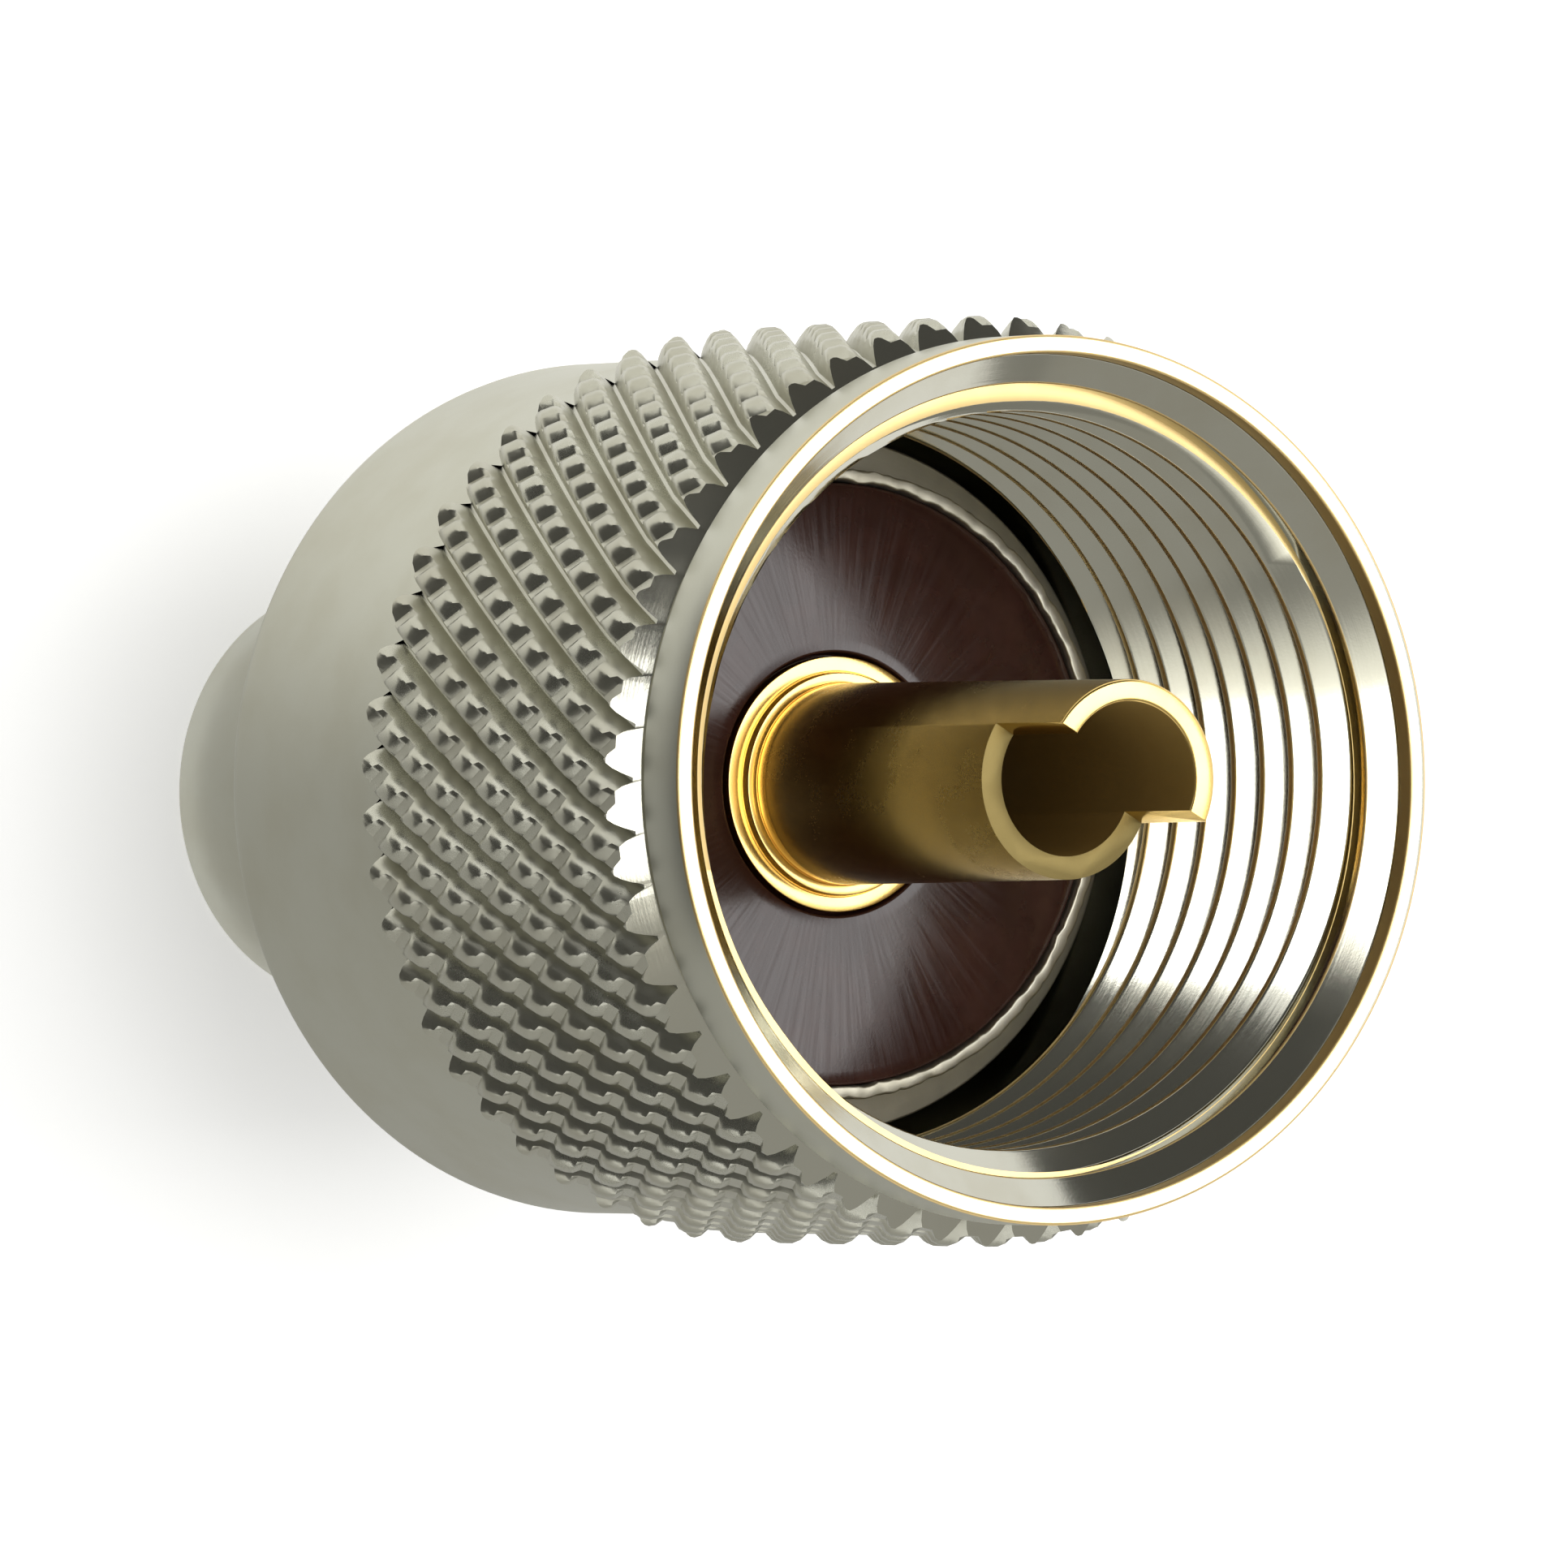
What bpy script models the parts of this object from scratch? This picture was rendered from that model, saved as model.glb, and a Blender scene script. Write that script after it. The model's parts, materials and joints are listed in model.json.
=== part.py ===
"""A crimp-on UHF plug: a knurled coupling nut on a turned body, with a hollow centre pin.

Metres, +Z up. The plug stands on the cable end of its crimp ferrule, with the mouth of the nut
up, and its axis is the Z axis. The nut is drawn slid back against its rear stop.
"""

import math

import bmesh
import bpy
from mathutils import Vector

# Clearance between pieces that slide, turn or seat on each other
GAP = 0.0003

# Centre pin
PIN_BORE_RADIUS = 0.00153
PIN_WALL = 0.00045
PIN_REACH = 0.0086
PIN_TIP_ROUND = 0.0001
PIN_RECESS = 0.0003
SCOOP_LENGTH = 0.0024
SCOOP_HEADING = math.radians(149)
ROOT_RISE = 0.00027
ROOT_STEP = 0.00015
ROOT_TAPER_LENGTH = 0.0012
COLLAR_RISE = 0.00028
COLLAR_WIDTH = 0.0003
COLLAR_PROUD = 0.0001

# Insulator
BOSS_WALL = 0.00112
BOSS_LENGTH = 0.004
DISC_WIDTH = 0.0024
DISC_RECESS = 0.0001

# Body
CUP_WALL = 0.0003
CUP_REACH = 0.00105
FLANGE_LEDGE = 0.0007
FLANGE_WIDTH = 0.0027
FLANGE_BEVEL = 0.0002
NECK_WALL = 0.001
SHOULDER_RISE = 0.0007
SHOULDER_WIDTH = 0.001
STEM_BORE_RADIUS = 0.0021
STEM_WALL = 0.0006
STEM_RECESS = 0.0008
BRAID_SPACE = 0.00085
SPIGOT_LENGTH = 0.0025
BARB_COUNT = 5
BARB_PITCH = 0.0009
BARB_LEAD = 0.00045
BARB_SLOPE = 0.00072
BARB_DEPTH = 0.00018

# Split ring that keeps the nut on the body
RING_DEPTH = 0.0016
RING_WIDTH = 0.001
RING_SPLIT = math.radians(26)

# Coupling nut, inside. The bore is the inner radius of its thread, which sizes the flange and the cup too
BORE_RADIUS = 0.00745
BORE_LEAD_IN = 0.0003
THREAD_LENGTH = 0.0077
THREAD_PITCH = 0.0254 / 24
THREAD_DEPTH = 0.00049
THREAD_ROOT_WIDTH = 0.00013
THREAD_FLANK = math.radians(30)
THREAD_TAPER_FACETS = 4
MOUTH_STEP = 0.0007
MOUTH_DEPTH = 0.0012
MOUTH_BEVEL = 0.00018
RELIEF_DEPTH = 0.00005
FRONT_LAND = 0.001
REAR_LAND = 0.001
REAR_BEVEL = 0.0003
NUT_TRAVEL = 0.002

# Coupling nut, outside
NUT_LENGTH = 0.0178
RIM_WALL = 0.00075
RIM_WIDTH = 0.0013
RIM_CHAMFER = 0.00015
GROOVE_DEPTH = 0.0006
GROOVE_WIDTH = 0.0007
KNURL_LENGTH = 0.0094
KNURL_RISE = 0.00045
KNURL_DEPTH = 0.0005
KNURL_CROSS_DEPTH = 0.0003
KNURL_TEETH = 52
KNURL_ANGLE = math.radians(30)
KNURL_RUNOUT = 0.0002
SKIRT_WALL = 0.00081
SKIRT_EDGE_RADIUS = 0.0004

# Crimp ferrule
FERRULE_LENGTH = 0.0091
FERRULE_WALL = 0.0006
FERRULE_BEVEL = 0.00015

# Smoothness of the round pieces
NUT_FACETS = KNURL_TEETH
FACETS = 48
ARC_STEPS = 3
SHARP_ANGLE = math.radians(30)

# Heights, from the cable end up
SHOULDER_BASE = FERRULE_LENGTH + GAP
SHOULDER_TOP = SHOULDER_BASE + SHOULDER_WIDTH
RING_BASE = SHOULDER_TOP + GAP
RING_TOP = RING_BASE + RING_WIDTH
NUT_BASE = RING_BASE - GAP - REAR_LAND
NUT_STEP = RING_TOP + GAP + FRONT_LAND
NUT_TOP = NUT_BASE + NUT_LENGTH
FLANGE_BASE = NUT_STEP + NUT_TRAVEL + GAP
FLANGE_TOP = FLANGE_BASE + FLANGE_WIDTH
CUP_TOP = FLANGE_TOP + CUP_REACH
DISC_TOP = CUP_TOP - DISC_RECESS
DISC_BASE = DISC_TOP - DISC_WIDTH
BOSS_BASE = DISC_BASE - BOSS_LENGTH
COLLAR_TOP = DISC_TOP + COLLAR_PROUD
COLLAR_BASE = COLLAR_TOP - COLLAR_WIDTH
SCOOP_BASE = DISC_TOP + PIN_REACH
PIN_TOP = SCOOP_BASE + SCOOP_LENGTH
PIN_BASE = BOSS_BASE + PIN_RECESS

# Radii of the flange and the cup, which fill the nut's bore, and of the insulator in the cup
FLANGE_RADIUS = BORE_RADIUS - GAP
CUP_RADIUS = FLANGE_RADIUS - FLANGE_LEDGE
CUP_BORE_RADIUS = CUP_RADIUS - CUP_WALL
DISC_RADIUS = CUP_BORE_RADIUS - GAP

# Radii from the pin outwards: its collar, the insulator's boss, the body's neck and the ring on it
PIN_RADIUS = PIN_BORE_RADIUS + PIN_WALL
ROOT_RADIUS = PIN_RADIUS + ROOT_RISE
COLLAR_RADIUS = ROOT_RADIUS + COLLAR_RISE
PIN_HOLE_RADIUS = PIN_RADIUS + GAP
COLLAR_SEAT_RADIUS = COLLAR_RADIUS + GAP
BOSS_RADIUS = PIN_HOLE_RADIUS + BOSS_WALL
CAVITY_RADIUS = BOSS_RADIUS + GAP
NECK_RADIUS = CAVITY_RADIUS + NECK_WALL
SHOULDER_RADIUS = NECK_RADIUS + SHOULDER_RISE
RING_BORE_RADIUS = NECK_RADIUS + GAP
RING_RADIUS = RING_BORE_RADIUS + RING_DEPTH

# Radii of the crimp stem, the spigot and the ferrule over them
STEM_RADIUS = STEM_BORE_RADIUS + STEM_WALL
SPIGOT_RADIUS = STEM_RADIUS + BRAID_SPACE
FERRULE_BORE_RADIUS = SPIGOT_RADIUS + GAP
FERRULE_RADIUS = FERRULE_BORE_RADIUS + FERRULE_WALL

# Radii of the nut
THREAD_ROOT_RADIUS = BORE_RADIUS + THREAD_DEPTH
RELIEF_RADIUS = THREAD_ROOT_RADIUS + RELIEF_DEPTH
REAR_BORE_RADIUS = SHOULDER_RADIUS + GAP
RING_GROOVE_RADIUS = RING_RADIUS + GAP
MOUTH_RADIUS = BORE_RADIUS + MOUTH_STEP
RIM_RADIUS = MOUTH_RADIUS + RIM_WALL
GROOVE_RADIUS = RIM_RADIUS - GROOVE_DEPTH
KNURL_TIP_RADIUS = RIM_RADIUS + KNURL_RISE
SKIRT_RADIUS = RELIEF_RADIUS + SKIRT_WALL

NICKEL = (0.62, 0.61, 0.54)
BODY_NICKEL = (0.55, 0.54, 0.47)
SPRING_STEEL = (0.42, 0.42, 0.40)
GOLD = (0.83, 0.58, 0.22)
PHENOLIC = (0.055, 0.022, 0.018)


def clear_scene():
    for item in list(bpy.data.objects):
        bpy.data.objects.remove(item, do_unlink=True)


def material(name, colour, roughness, metallic):
    """A Principled material of one colour."""
    made = bpy.data.materials.new(name)
    made.use_nodes = True
    shader = made.node_tree.nodes["Principled BSDF"]
    shader.inputs["Base Color"].default_value = (*colour, 1.0)
    shader.inputs["Roughness"].default_value = roughness
    shader.inputs["Metallic"].default_value = metallic
    made.diffuse_color = (*colour, 1.0)
    return made


def finish(name, shape, finish_material):
    """Turns a closed bmesh into a smooth-shaded object, with its faces pointing out."""
    bmesh.ops.remove_doubles(shape, verts=shape.verts, dist=1e-7)
    bmesh.ops.recalc_face_normals(shape, faces=shape.faces)
    mesh = bpy.data.meshes.new(name)
    shape.to_mesh(mesh)
    shape.free()
    mesh.materials.append(finish_material)
    mesh.shade_smooth()
    mesh.set_sharp_from_angle(angle=SHARP_ANGLE)
    made = bpy.data.objects.new(name, mesh)
    bpy.context.scene.collection.objects.link(made)
    return made


def arc(centre_radius, centre_height, size, start, end, steps=ARC_STEPS):
    """Points (radius, height) along a rounded edge. The angles are in degrees, 0 pointing outwards."""
    points = []
    for step in range(steps + 1):
        angle = math.radians(start + (end - start) * step / steps)
        points.append((centre_radius + size * math.cos(angle), centre_height + size * math.sin(angle)))
    return points


def turned(name, profile, finish_material, facets=FACETS, sweep=math.tau):
    """Spins a closed profile of (radius, height) points about Z, all round or through a part turn."""
    shape = bmesh.new()
    corners = [shape.verts.new((radius, 0.0, height)) for radius, height in profile]
    whole = math.isclose(sweep, math.tau)
    if whole:
        geometry = [shape.edges.new((a, b)) for a, b in zip(corners, corners[1:] + corners[:1])]
    else:
        geometry = [shape.faces.new(corners)]
    bmesh.ops.spin(
        shape,
        geom=geometry,
        axis=(0, 0, 1),
        cent=(0, 0, 0),
        steps=facets,
        angle=sweep,
        use_merge=whole,
    )
    return finish(name, shape, finish_material)


def vertex(shape, radius, angle, height):
    """A vertex at a radius, an angle and a height."""
    return shape.verts.new((radius * math.cos(angle), radius * math.sin(angle), height))


def ring(shape, radii, height):
    """A ring of vertices at one height, with one radius for each."""
    return [vertex(shape, radius, math.tau * i / len(radii), height) for i, radius in enumerate(radii)]


def bridge(shape, first, second):
    """Faces between two rings, of the same count or one with twice the vertices of the other."""
    if len(first) == len(second):
        count = len(first)
        for i in range(count):
            j = (i + 1) % count
            shape.faces.new((first[i], first[j], second[j], second[i]))
        return
    coarse, fine = sorted((first, second), key=len)
    for i in range(len(coarse)):
        j = (i + 1) % len(coarse)
        start, middle, end = (fine[(2 * i + k) % len(fine)] for k in range(3))
        shape.faces.new((coarse[i], start, middle))
        shape.faces.new((coarse[i], middle, coarse[j]))
        shape.faces.new((coarse[j], middle, end))


def knurl_rings(shape):
    """The diamond knurl, as rings of pyramid tips and groove crossings, from the rear to the front.

    Neighbours on a ring are half a tooth apart, and tips and crossings swap places from one ring
    to the next, so the diagonals between crossings are the two families of helical grooves.
    """
    root_radius = KNURL_TIP_RADIUS - KNURL_DEPTH
    half_tooth = math.pi * KNURL_TIP_RADIUS / KNURL_TEETH
    rows = max(2, round(KNURL_LENGTH * math.tan(KNURL_ANGLE) / half_tooth))
    front = NUT_TOP - RIM_WIDTH - GROOVE_WIDTH
    rings = []
    for row in range(rows + 1):
        radii = [
            KNURL_TIP_RADIUS if (column + row) % 2 else root_radius
            for column in range(2 * KNURL_TEETH)
        ]
        rings.append(ring(shape, radii, front - KNURL_LENGTH * (1 - row / rows)))
    for row, (lower, upper) in enumerate(zip(rings, rings[1:])):
        knurl_row(shape, lower, upper, row)
    return rings


def knurl_row(shape, lower, upper, row):
    """One row of pyramid faces. The right-handed grooves run deep, and the others only notch the ridges."""
    notch_radius = KNURL_TIP_RADIUS - KNURL_CROSS_DEPTH
    for column in range(len(lower)):
        beside = (column + 1) % len(lower)
        a, b, c, d = lower[column], lower[beside], upper[beside], upper[column]
        if (column + row) % 2 == 0:
            shape.faces.new((a, b, c))
            shape.faces.new((a, c, d))
            continue
        middle = (b.co + d.co) / 2
        outward = Vector((middle.x, middle.y, 0)).normalized() * notch_radius
        notch = shape.verts.new((outward.x, outward.y, middle.z))
        for first, second in ((a, b), (b, c), (c, d), (d, a)):
            shape.faces.new((first, second, notch))


def thread(shape, lower, upper):
    """The thread in the bore between two rings: a right-handed helical groove, which tapers off at its ends.

    Each cut across the groove has four vertices, from its lower edge to its upper edge. The cuts stand
    at the rings' facets, so the pitch is rounded to a whole number of facets for the thread's length.
    """
    facets = len(lower)
    half_root = THREAD_ROOT_WIDTH / 2
    half_width = half_root + THREAD_DEPTH * math.tan(THREAD_FLANK)
    section = [(0, -half_width), (THREAD_DEPTH, -half_root), (THREAD_DEPTH, half_root), (0, half_width)]
    start = lower[0].co.z + half_width
    length = upper[0].co.z - half_width - start
    steps = round(facets * length / THREAD_PITCH)
    cuts = []
    for step in range(steps + 1):
        share = min(1.0, step / THREAD_TAPER_FACETS, (steps - step) / THREAD_TAPER_FACETS)
        height = start + length * step / steps
        angle = math.tau * step / facets
        cuts.append([
            vertex(shape, BORE_RADIUS + share * depth, angle, height + share * side)
            for depth, side in section
        ])
    for cut, after in zip(cuts, cuts[1:]):
        for i in range(3):
            shape.faces.new((cut[i], after[i], after[i + 1], cut[i + 1]))
    for step in range(steps - facets):
        above = step + facets
        shape.faces.new((cuts[step][3], cuts[step + 1][3], cuts[above + 1][0], cuts[above][0]))
    first_turn = range(facets + 1)
    last_turn = range(steps, steps - facets - 1, -1)
    thread_end(shape, [lower[i % facets] for i in first_turn], [cuts[i][0] for i in first_turn])
    thread_end(shape, [upper[i % facets] for i in last_turn], [cuts[i][3] for i in last_turn])


def thread_end(shape, rim, edge):
    """Faces between a ring and the groove's edge. Both run once round, from where the groove ends."""
    for i in range(len(edge) - 2):
        shape.faces.new((rim[i], rim[i + 1], edge[i + 1], edge[i]))
    shape.faces.new((rim[-2], rim[-1], edge[0], edge[-2]))
    shape.faces.new((edge[0], edge[-1], edge[-2]))


def mouth_section():
    """The nut's turned profile from the front of the knurl, over the rim and the mouth, to the bore."""
    groove_base = NUT_TOP - RIM_WIDTH - GROOVE_WIDTH
    rim_base = NUT_TOP - RIM_WIDTH
    mouth_base = NUT_TOP - MOUTH_DEPTH
    return [
        (GROOVE_RADIUS, groove_base),
        (GROOVE_RADIUS, rim_base),
        (RIM_RADIUS, rim_base),
        (RIM_RADIUS, NUT_TOP - RIM_CHAMFER),
        (RIM_RADIUS - RIM_CHAMFER, NUT_TOP),
        (MOUTH_RADIUS + MOUTH_BEVEL, NUT_TOP),
        (MOUTH_RADIUS, NUT_TOP - MOUTH_BEVEL),
        (MOUTH_RADIUS, mouth_base),
        (BORE_RADIUS + BORE_LEAD_IN, mouth_base),
        (BORE_RADIUS, mouth_base - BORE_LEAD_IN),
    ]


def rear_section():
    """The nut's turned profile from the end of the thread, over the split ring's groove, to the knurl."""
    thread_base = NUT_TOP - MOUTH_DEPTH - THREAD_LENGTH
    knurl_base = NUT_TOP - RIM_WIDTH - GROOVE_WIDTH - KNURL_LENGTH
    relief_slope = RELIEF_RADIUS - BORE_RADIUS
    return [
        (BORE_RADIUS, thread_base),
        (RELIEF_RADIUS, thread_base - relief_slope),
        (RELIEF_RADIUS, NUT_STEP),
        (REAR_BORE_RADIUS, NUT_STEP),
        (REAR_BORE_RADIUS, RING_TOP + GAP),
        (RING_GROOVE_RADIUS, RING_TOP + GAP),
        (RING_GROOVE_RADIUS, RING_BASE - GAP),
        (REAR_BORE_RADIUS, RING_BASE - GAP),
        (REAR_BORE_RADIUS, NUT_BASE + REAR_BEVEL),
        (REAR_BORE_RADIUS + REAR_BEVEL, NUT_BASE),
        *arc(SKIRT_RADIUS - SKIRT_EDGE_RADIUS, NUT_BASE + SKIRT_EDGE_RADIUS, SKIRT_EDGE_RADIUS, -90, 0),
        (SKIRT_RADIUS, knurl_base - KNURL_RUNOUT),
    ]


def coupling_nut(nickel):
    """The nut is one turned piece, with its knurl and its thread between the two stretches of its profile."""
    shape = bmesh.new()
    knurl = knurl_rings(shape)
    mouth = [ring(shape, [radius] * NUT_FACETS, height) for radius, height in mouth_section()]
    rear = [ring(shape, [radius] * NUT_FACETS, height) for radius, height in rear_section()]
    for chain in ([knurl[-1], *mouth], [*rear, knurl[0]]):
        for first, second in zip(chain, chain[1:]):
            bridge(shape, first, second)
    thread(shape, rear[0], mouth[-1])
    return finish("coupling_nut", shape, nickel)


def connector_body(nickel):
    """The turned body: a cup for the insulator, the flange that pulls home, the neck and the crimp stem."""
    stem_base = STEM_RECESS
    spigot_base = SHOULDER_BASE - SPIGOT_LENGTH
    cavity_base = BOSS_BASE - GAP
    barbs = []
    for barb in range(BARB_COUNT):
        foot = stem_base + BARB_LEAD + BARB_PITCH * barb
        barbs.append((STEM_RADIUS - BARB_DEPTH, foot))
        barbs.append((STEM_RADIUS, foot + BARB_SLOPE))
    profile = [
        (STEM_BORE_RADIUS, stem_base),
        (STEM_RADIUS - BARB_DEPTH, stem_base),
        *barbs,
        (STEM_RADIUS, spigot_base),
        (SPIGOT_RADIUS, spigot_base),
        (SPIGOT_RADIUS, SHOULDER_BASE),
        (SHOULDER_RADIUS, SHOULDER_BASE),
        (SHOULDER_RADIUS, SHOULDER_TOP),
        (NECK_RADIUS, SHOULDER_TOP),
        (NECK_RADIUS, FLANGE_BASE),
        (FLANGE_RADIUS, FLANGE_BASE),
        (FLANGE_RADIUS, FLANGE_TOP - FLANGE_BEVEL),
        (FLANGE_RADIUS - FLANGE_BEVEL, FLANGE_TOP),
        (CUP_RADIUS, FLANGE_TOP),
        (CUP_RADIUS, CUP_TOP),
        (CUP_BORE_RADIUS, CUP_TOP),
        (CUP_BORE_RADIUS, DISC_BASE - GAP),
        (CAVITY_RADIUS, DISC_BASE - GAP),
        (CAVITY_RADIUS, cavity_base),
        (STEM_BORE_RADIUS, cavity_base),
    ]
    return turned("connector_body", profile, nickel)


def retaining_ring(steel):
    """A split ring, which turns in the nut's groove and slides on the body's neck."""
    profile = [
        (RING_BORE_RADIUS, RING_BASE),
        (RING_RADIUS, RING_BASE),
        (RING_RADIUS, RING_TOP),
        (RING_BORE_RADIUS, RING_TOP),
    ]
    return turned("retaining_ring", profile, steel, sweep=math.tau - RING_SPLIT)


def insulator(phenolic):
    """A stepped disc, with a through hole for the pin and a seat for the pin's collar."""
    seat = COLLAR_BASE - GAP
    profile = [
        (PIN_HOLE_RADIUS, BOSS_BASE),
        (BOSS_RADIUS, BOSS_BASE),
        (BOSS_RADIUS, DISC_BASE),
        (DISC_RADIUS, DISC_BASE),
        (DISC_RADIUS, DISC_TOP),
        (COLLAR_SEAT_RADIUS, DISC_TOP),
        (COLLAR_SEAT_RADIUS, seat),
        (PIN_HOLE_RADIUS, seat),
    ]
    return turned("insulator", profile, phenolic)


def scoop_cutter():
    """The block that takes away one half of the pin's wall at its tip, to show the soldered wire."""
    shape = bmesh.new()
    bmesh.ops.create_cube(shape, size=1.0)
    block = Vector((2 * PIN_RADIUS, 4 * PIN_RADIUS, 2 * SCOOP_LENGTH))
    bmesh.ops.scale(shape, vec=block, verts=shape.verts)
    bmesh.ops.translate(shape, vec=(-block.x / 2, 0, SCOOP_BASE + block.z / 2), verts=shape.verts)
    mesh = bpy.data.meshes.new("scoop_cutter")
    shape.to_mesh(mesh)
    shape.free()
    cutter = bpy.data.objects.new("scoop_cutter", mesh)
    bpy.context.scene.collection.objects.link(cutter)
    cutter.rotation_euler.z = SCOOP_HEADING
    cutter.hide_render = True
    cutter.display_type = "WIRE"
    return cutter


def center_pin(gold):
    """The hollow pin, with its collar and tapered root. The tip is cut back on one side."""
    taper_top = COLLAR_TOP + ROOT_STEP + ROOT_TAPER_LENGTH
    profile = [
        (PIN_BORE_RADIUS, PIN_BASE),
        (PIN_RADIUS, PIN_BASE),
        (PIN_RADIUS, COLLAR_BASE),
        (COLLAR_RADIUS, COLLAR_BASE),
        (COLLAR_RADIUS, COLLAR_TOP),
        (ROOT_RADIUS, COLLAR_TOP),
        (ROOT_RADIUS, COLLAR_TOP + ROOT_STEP),
        (PIN_RADIUS, taper_top),
        *arc(PIN_RADIUS - PIN_TIP_ROUND, PIN_TOP - PIN_TIP_ROUND, PIN_TIP_ROUND, 0, 90, 2),
        (PIN_BORE_RADIUS, PIN_TOP),
    ]
    pin = turned("center_pin", profile, gold)
    cut = pin.modifiers.new("scoop", "BOOLEAN")
    cut.operation = "DIFFERENCE"
    cut.solver = "EXACT"
    cut.object = scoop_cutter()
    return pin


def crimp_ferrule(nickel):
    """A plain tube, which grips the cable's braid on the stem when it is crimped."""
    profile = [
        (FERRULE_BORE_RADIUS, 0.0),
        (FERRULE_RADIUS - FERRULE_BEVEL, 0.0),
        (FERRULE_RADIUS, FERRULE_BEVEL),
        (FERRULE_RADIUS, FERRULE_LENGTH - FERRULE_BEVEL),
        (FERRULE_RADIUS - FERRULE_BEVEL, FERRULE_LENGTH),
        (FERRULE_BORE_RADIUS, FERRULE_LENGTH),
    ]
    return turned("crimp_ferrule", profile, nickel)


def main():
    clear_scene()
    nickel = material("satin nickel", NICKEL, 0.32, 1.0)
    body_nickel = material("body nickel", BODY_NICKEL, 0.36, 1.0)
    coupling_nut(nickel)
    connector_body(body_nickel)
    retaining_ring(material("spring steel", SPRING_STEEL, 0.4, 1.0))
    insulator(material("brown phenolic", PHENOLIC, 0.3, 0.0))
    center_pin(material("gold plate", GOLD, 0.2, 1.0))
    crimp_ferrule(nickel)


main()
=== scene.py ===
"""The looks of a crimp-on UHF plug: its finishes, its turned, knurled and threaded forms, and the studio.

Metres, +Z up. The plug stands on the cable end of its ferrule, and its axis is the Z axis.
"""

import json
import logging
import math
from collections.abc import Callable, Sequence
from dataclasses import dataclass
from enum import Enum

import bmesh
import bpy
from mathutils import Matrix, Vector, noise

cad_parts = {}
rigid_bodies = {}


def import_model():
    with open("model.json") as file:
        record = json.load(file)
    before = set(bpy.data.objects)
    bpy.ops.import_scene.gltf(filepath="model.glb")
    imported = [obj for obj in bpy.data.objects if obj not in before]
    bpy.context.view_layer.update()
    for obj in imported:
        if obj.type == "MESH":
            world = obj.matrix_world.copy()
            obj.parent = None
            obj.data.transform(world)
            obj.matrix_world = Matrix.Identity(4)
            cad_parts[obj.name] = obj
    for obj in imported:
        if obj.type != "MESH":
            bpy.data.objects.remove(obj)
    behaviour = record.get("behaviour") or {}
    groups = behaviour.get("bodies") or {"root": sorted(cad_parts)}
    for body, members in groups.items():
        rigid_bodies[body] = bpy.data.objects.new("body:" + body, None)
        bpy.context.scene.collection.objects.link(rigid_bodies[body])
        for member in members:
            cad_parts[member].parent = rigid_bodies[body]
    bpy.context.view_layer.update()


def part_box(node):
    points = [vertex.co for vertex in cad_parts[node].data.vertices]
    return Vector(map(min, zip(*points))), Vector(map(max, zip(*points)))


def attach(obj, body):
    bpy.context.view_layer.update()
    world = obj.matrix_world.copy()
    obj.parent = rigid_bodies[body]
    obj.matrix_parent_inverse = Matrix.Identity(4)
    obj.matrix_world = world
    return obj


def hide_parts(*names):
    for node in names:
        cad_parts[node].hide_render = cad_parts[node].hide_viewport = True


for startup_object in list(bpy.data.objects):
    bpy.data.objects.remove(startup_object, do_unlink=True)
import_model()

LOG = logging.getLogger("uhf_plug")
MM = 0.001
SHARP_ANGLE = math.radians(35)
WELD_REACH = 0.0005 * MM
CUT_REACH = 1e-8
STRAIGHT = math.radians(178)
ARC_SHARE = 0.45

Colour = tuple[float, float, float]
Point = tuple[float, float]
Profile = list[Point]
Rows = Sequence[Sequence[Vector]]
Values = dict[str | int, object]
Socket = bpy.types.NodeSocket
Node = bpy.types.Node
Material = bpy.types.Material
Mesh = bpy.types.Mesh
Piece = bpy.types.Object
MeshPoint = bmesh.types.BMVert
MeshFace = bmesh.types.BMFace
Ring = list[MeshPoint]


class Body(Enum):
    """The bodies that move against each other."""

    PLUG = "plug_body"
    RING = "ring"
    NUT = "nut"


class Slot(Enum):
    """The record's material slots."""

    NUT = "nut_nickel"
    BODY = "body_nickel"
    WIRE = "spring_wire"
    INSULATOR = "insulator_phenolic"
    PIN = "pin_gold"
    FERRULE = "ferrule_nickel"


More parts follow.
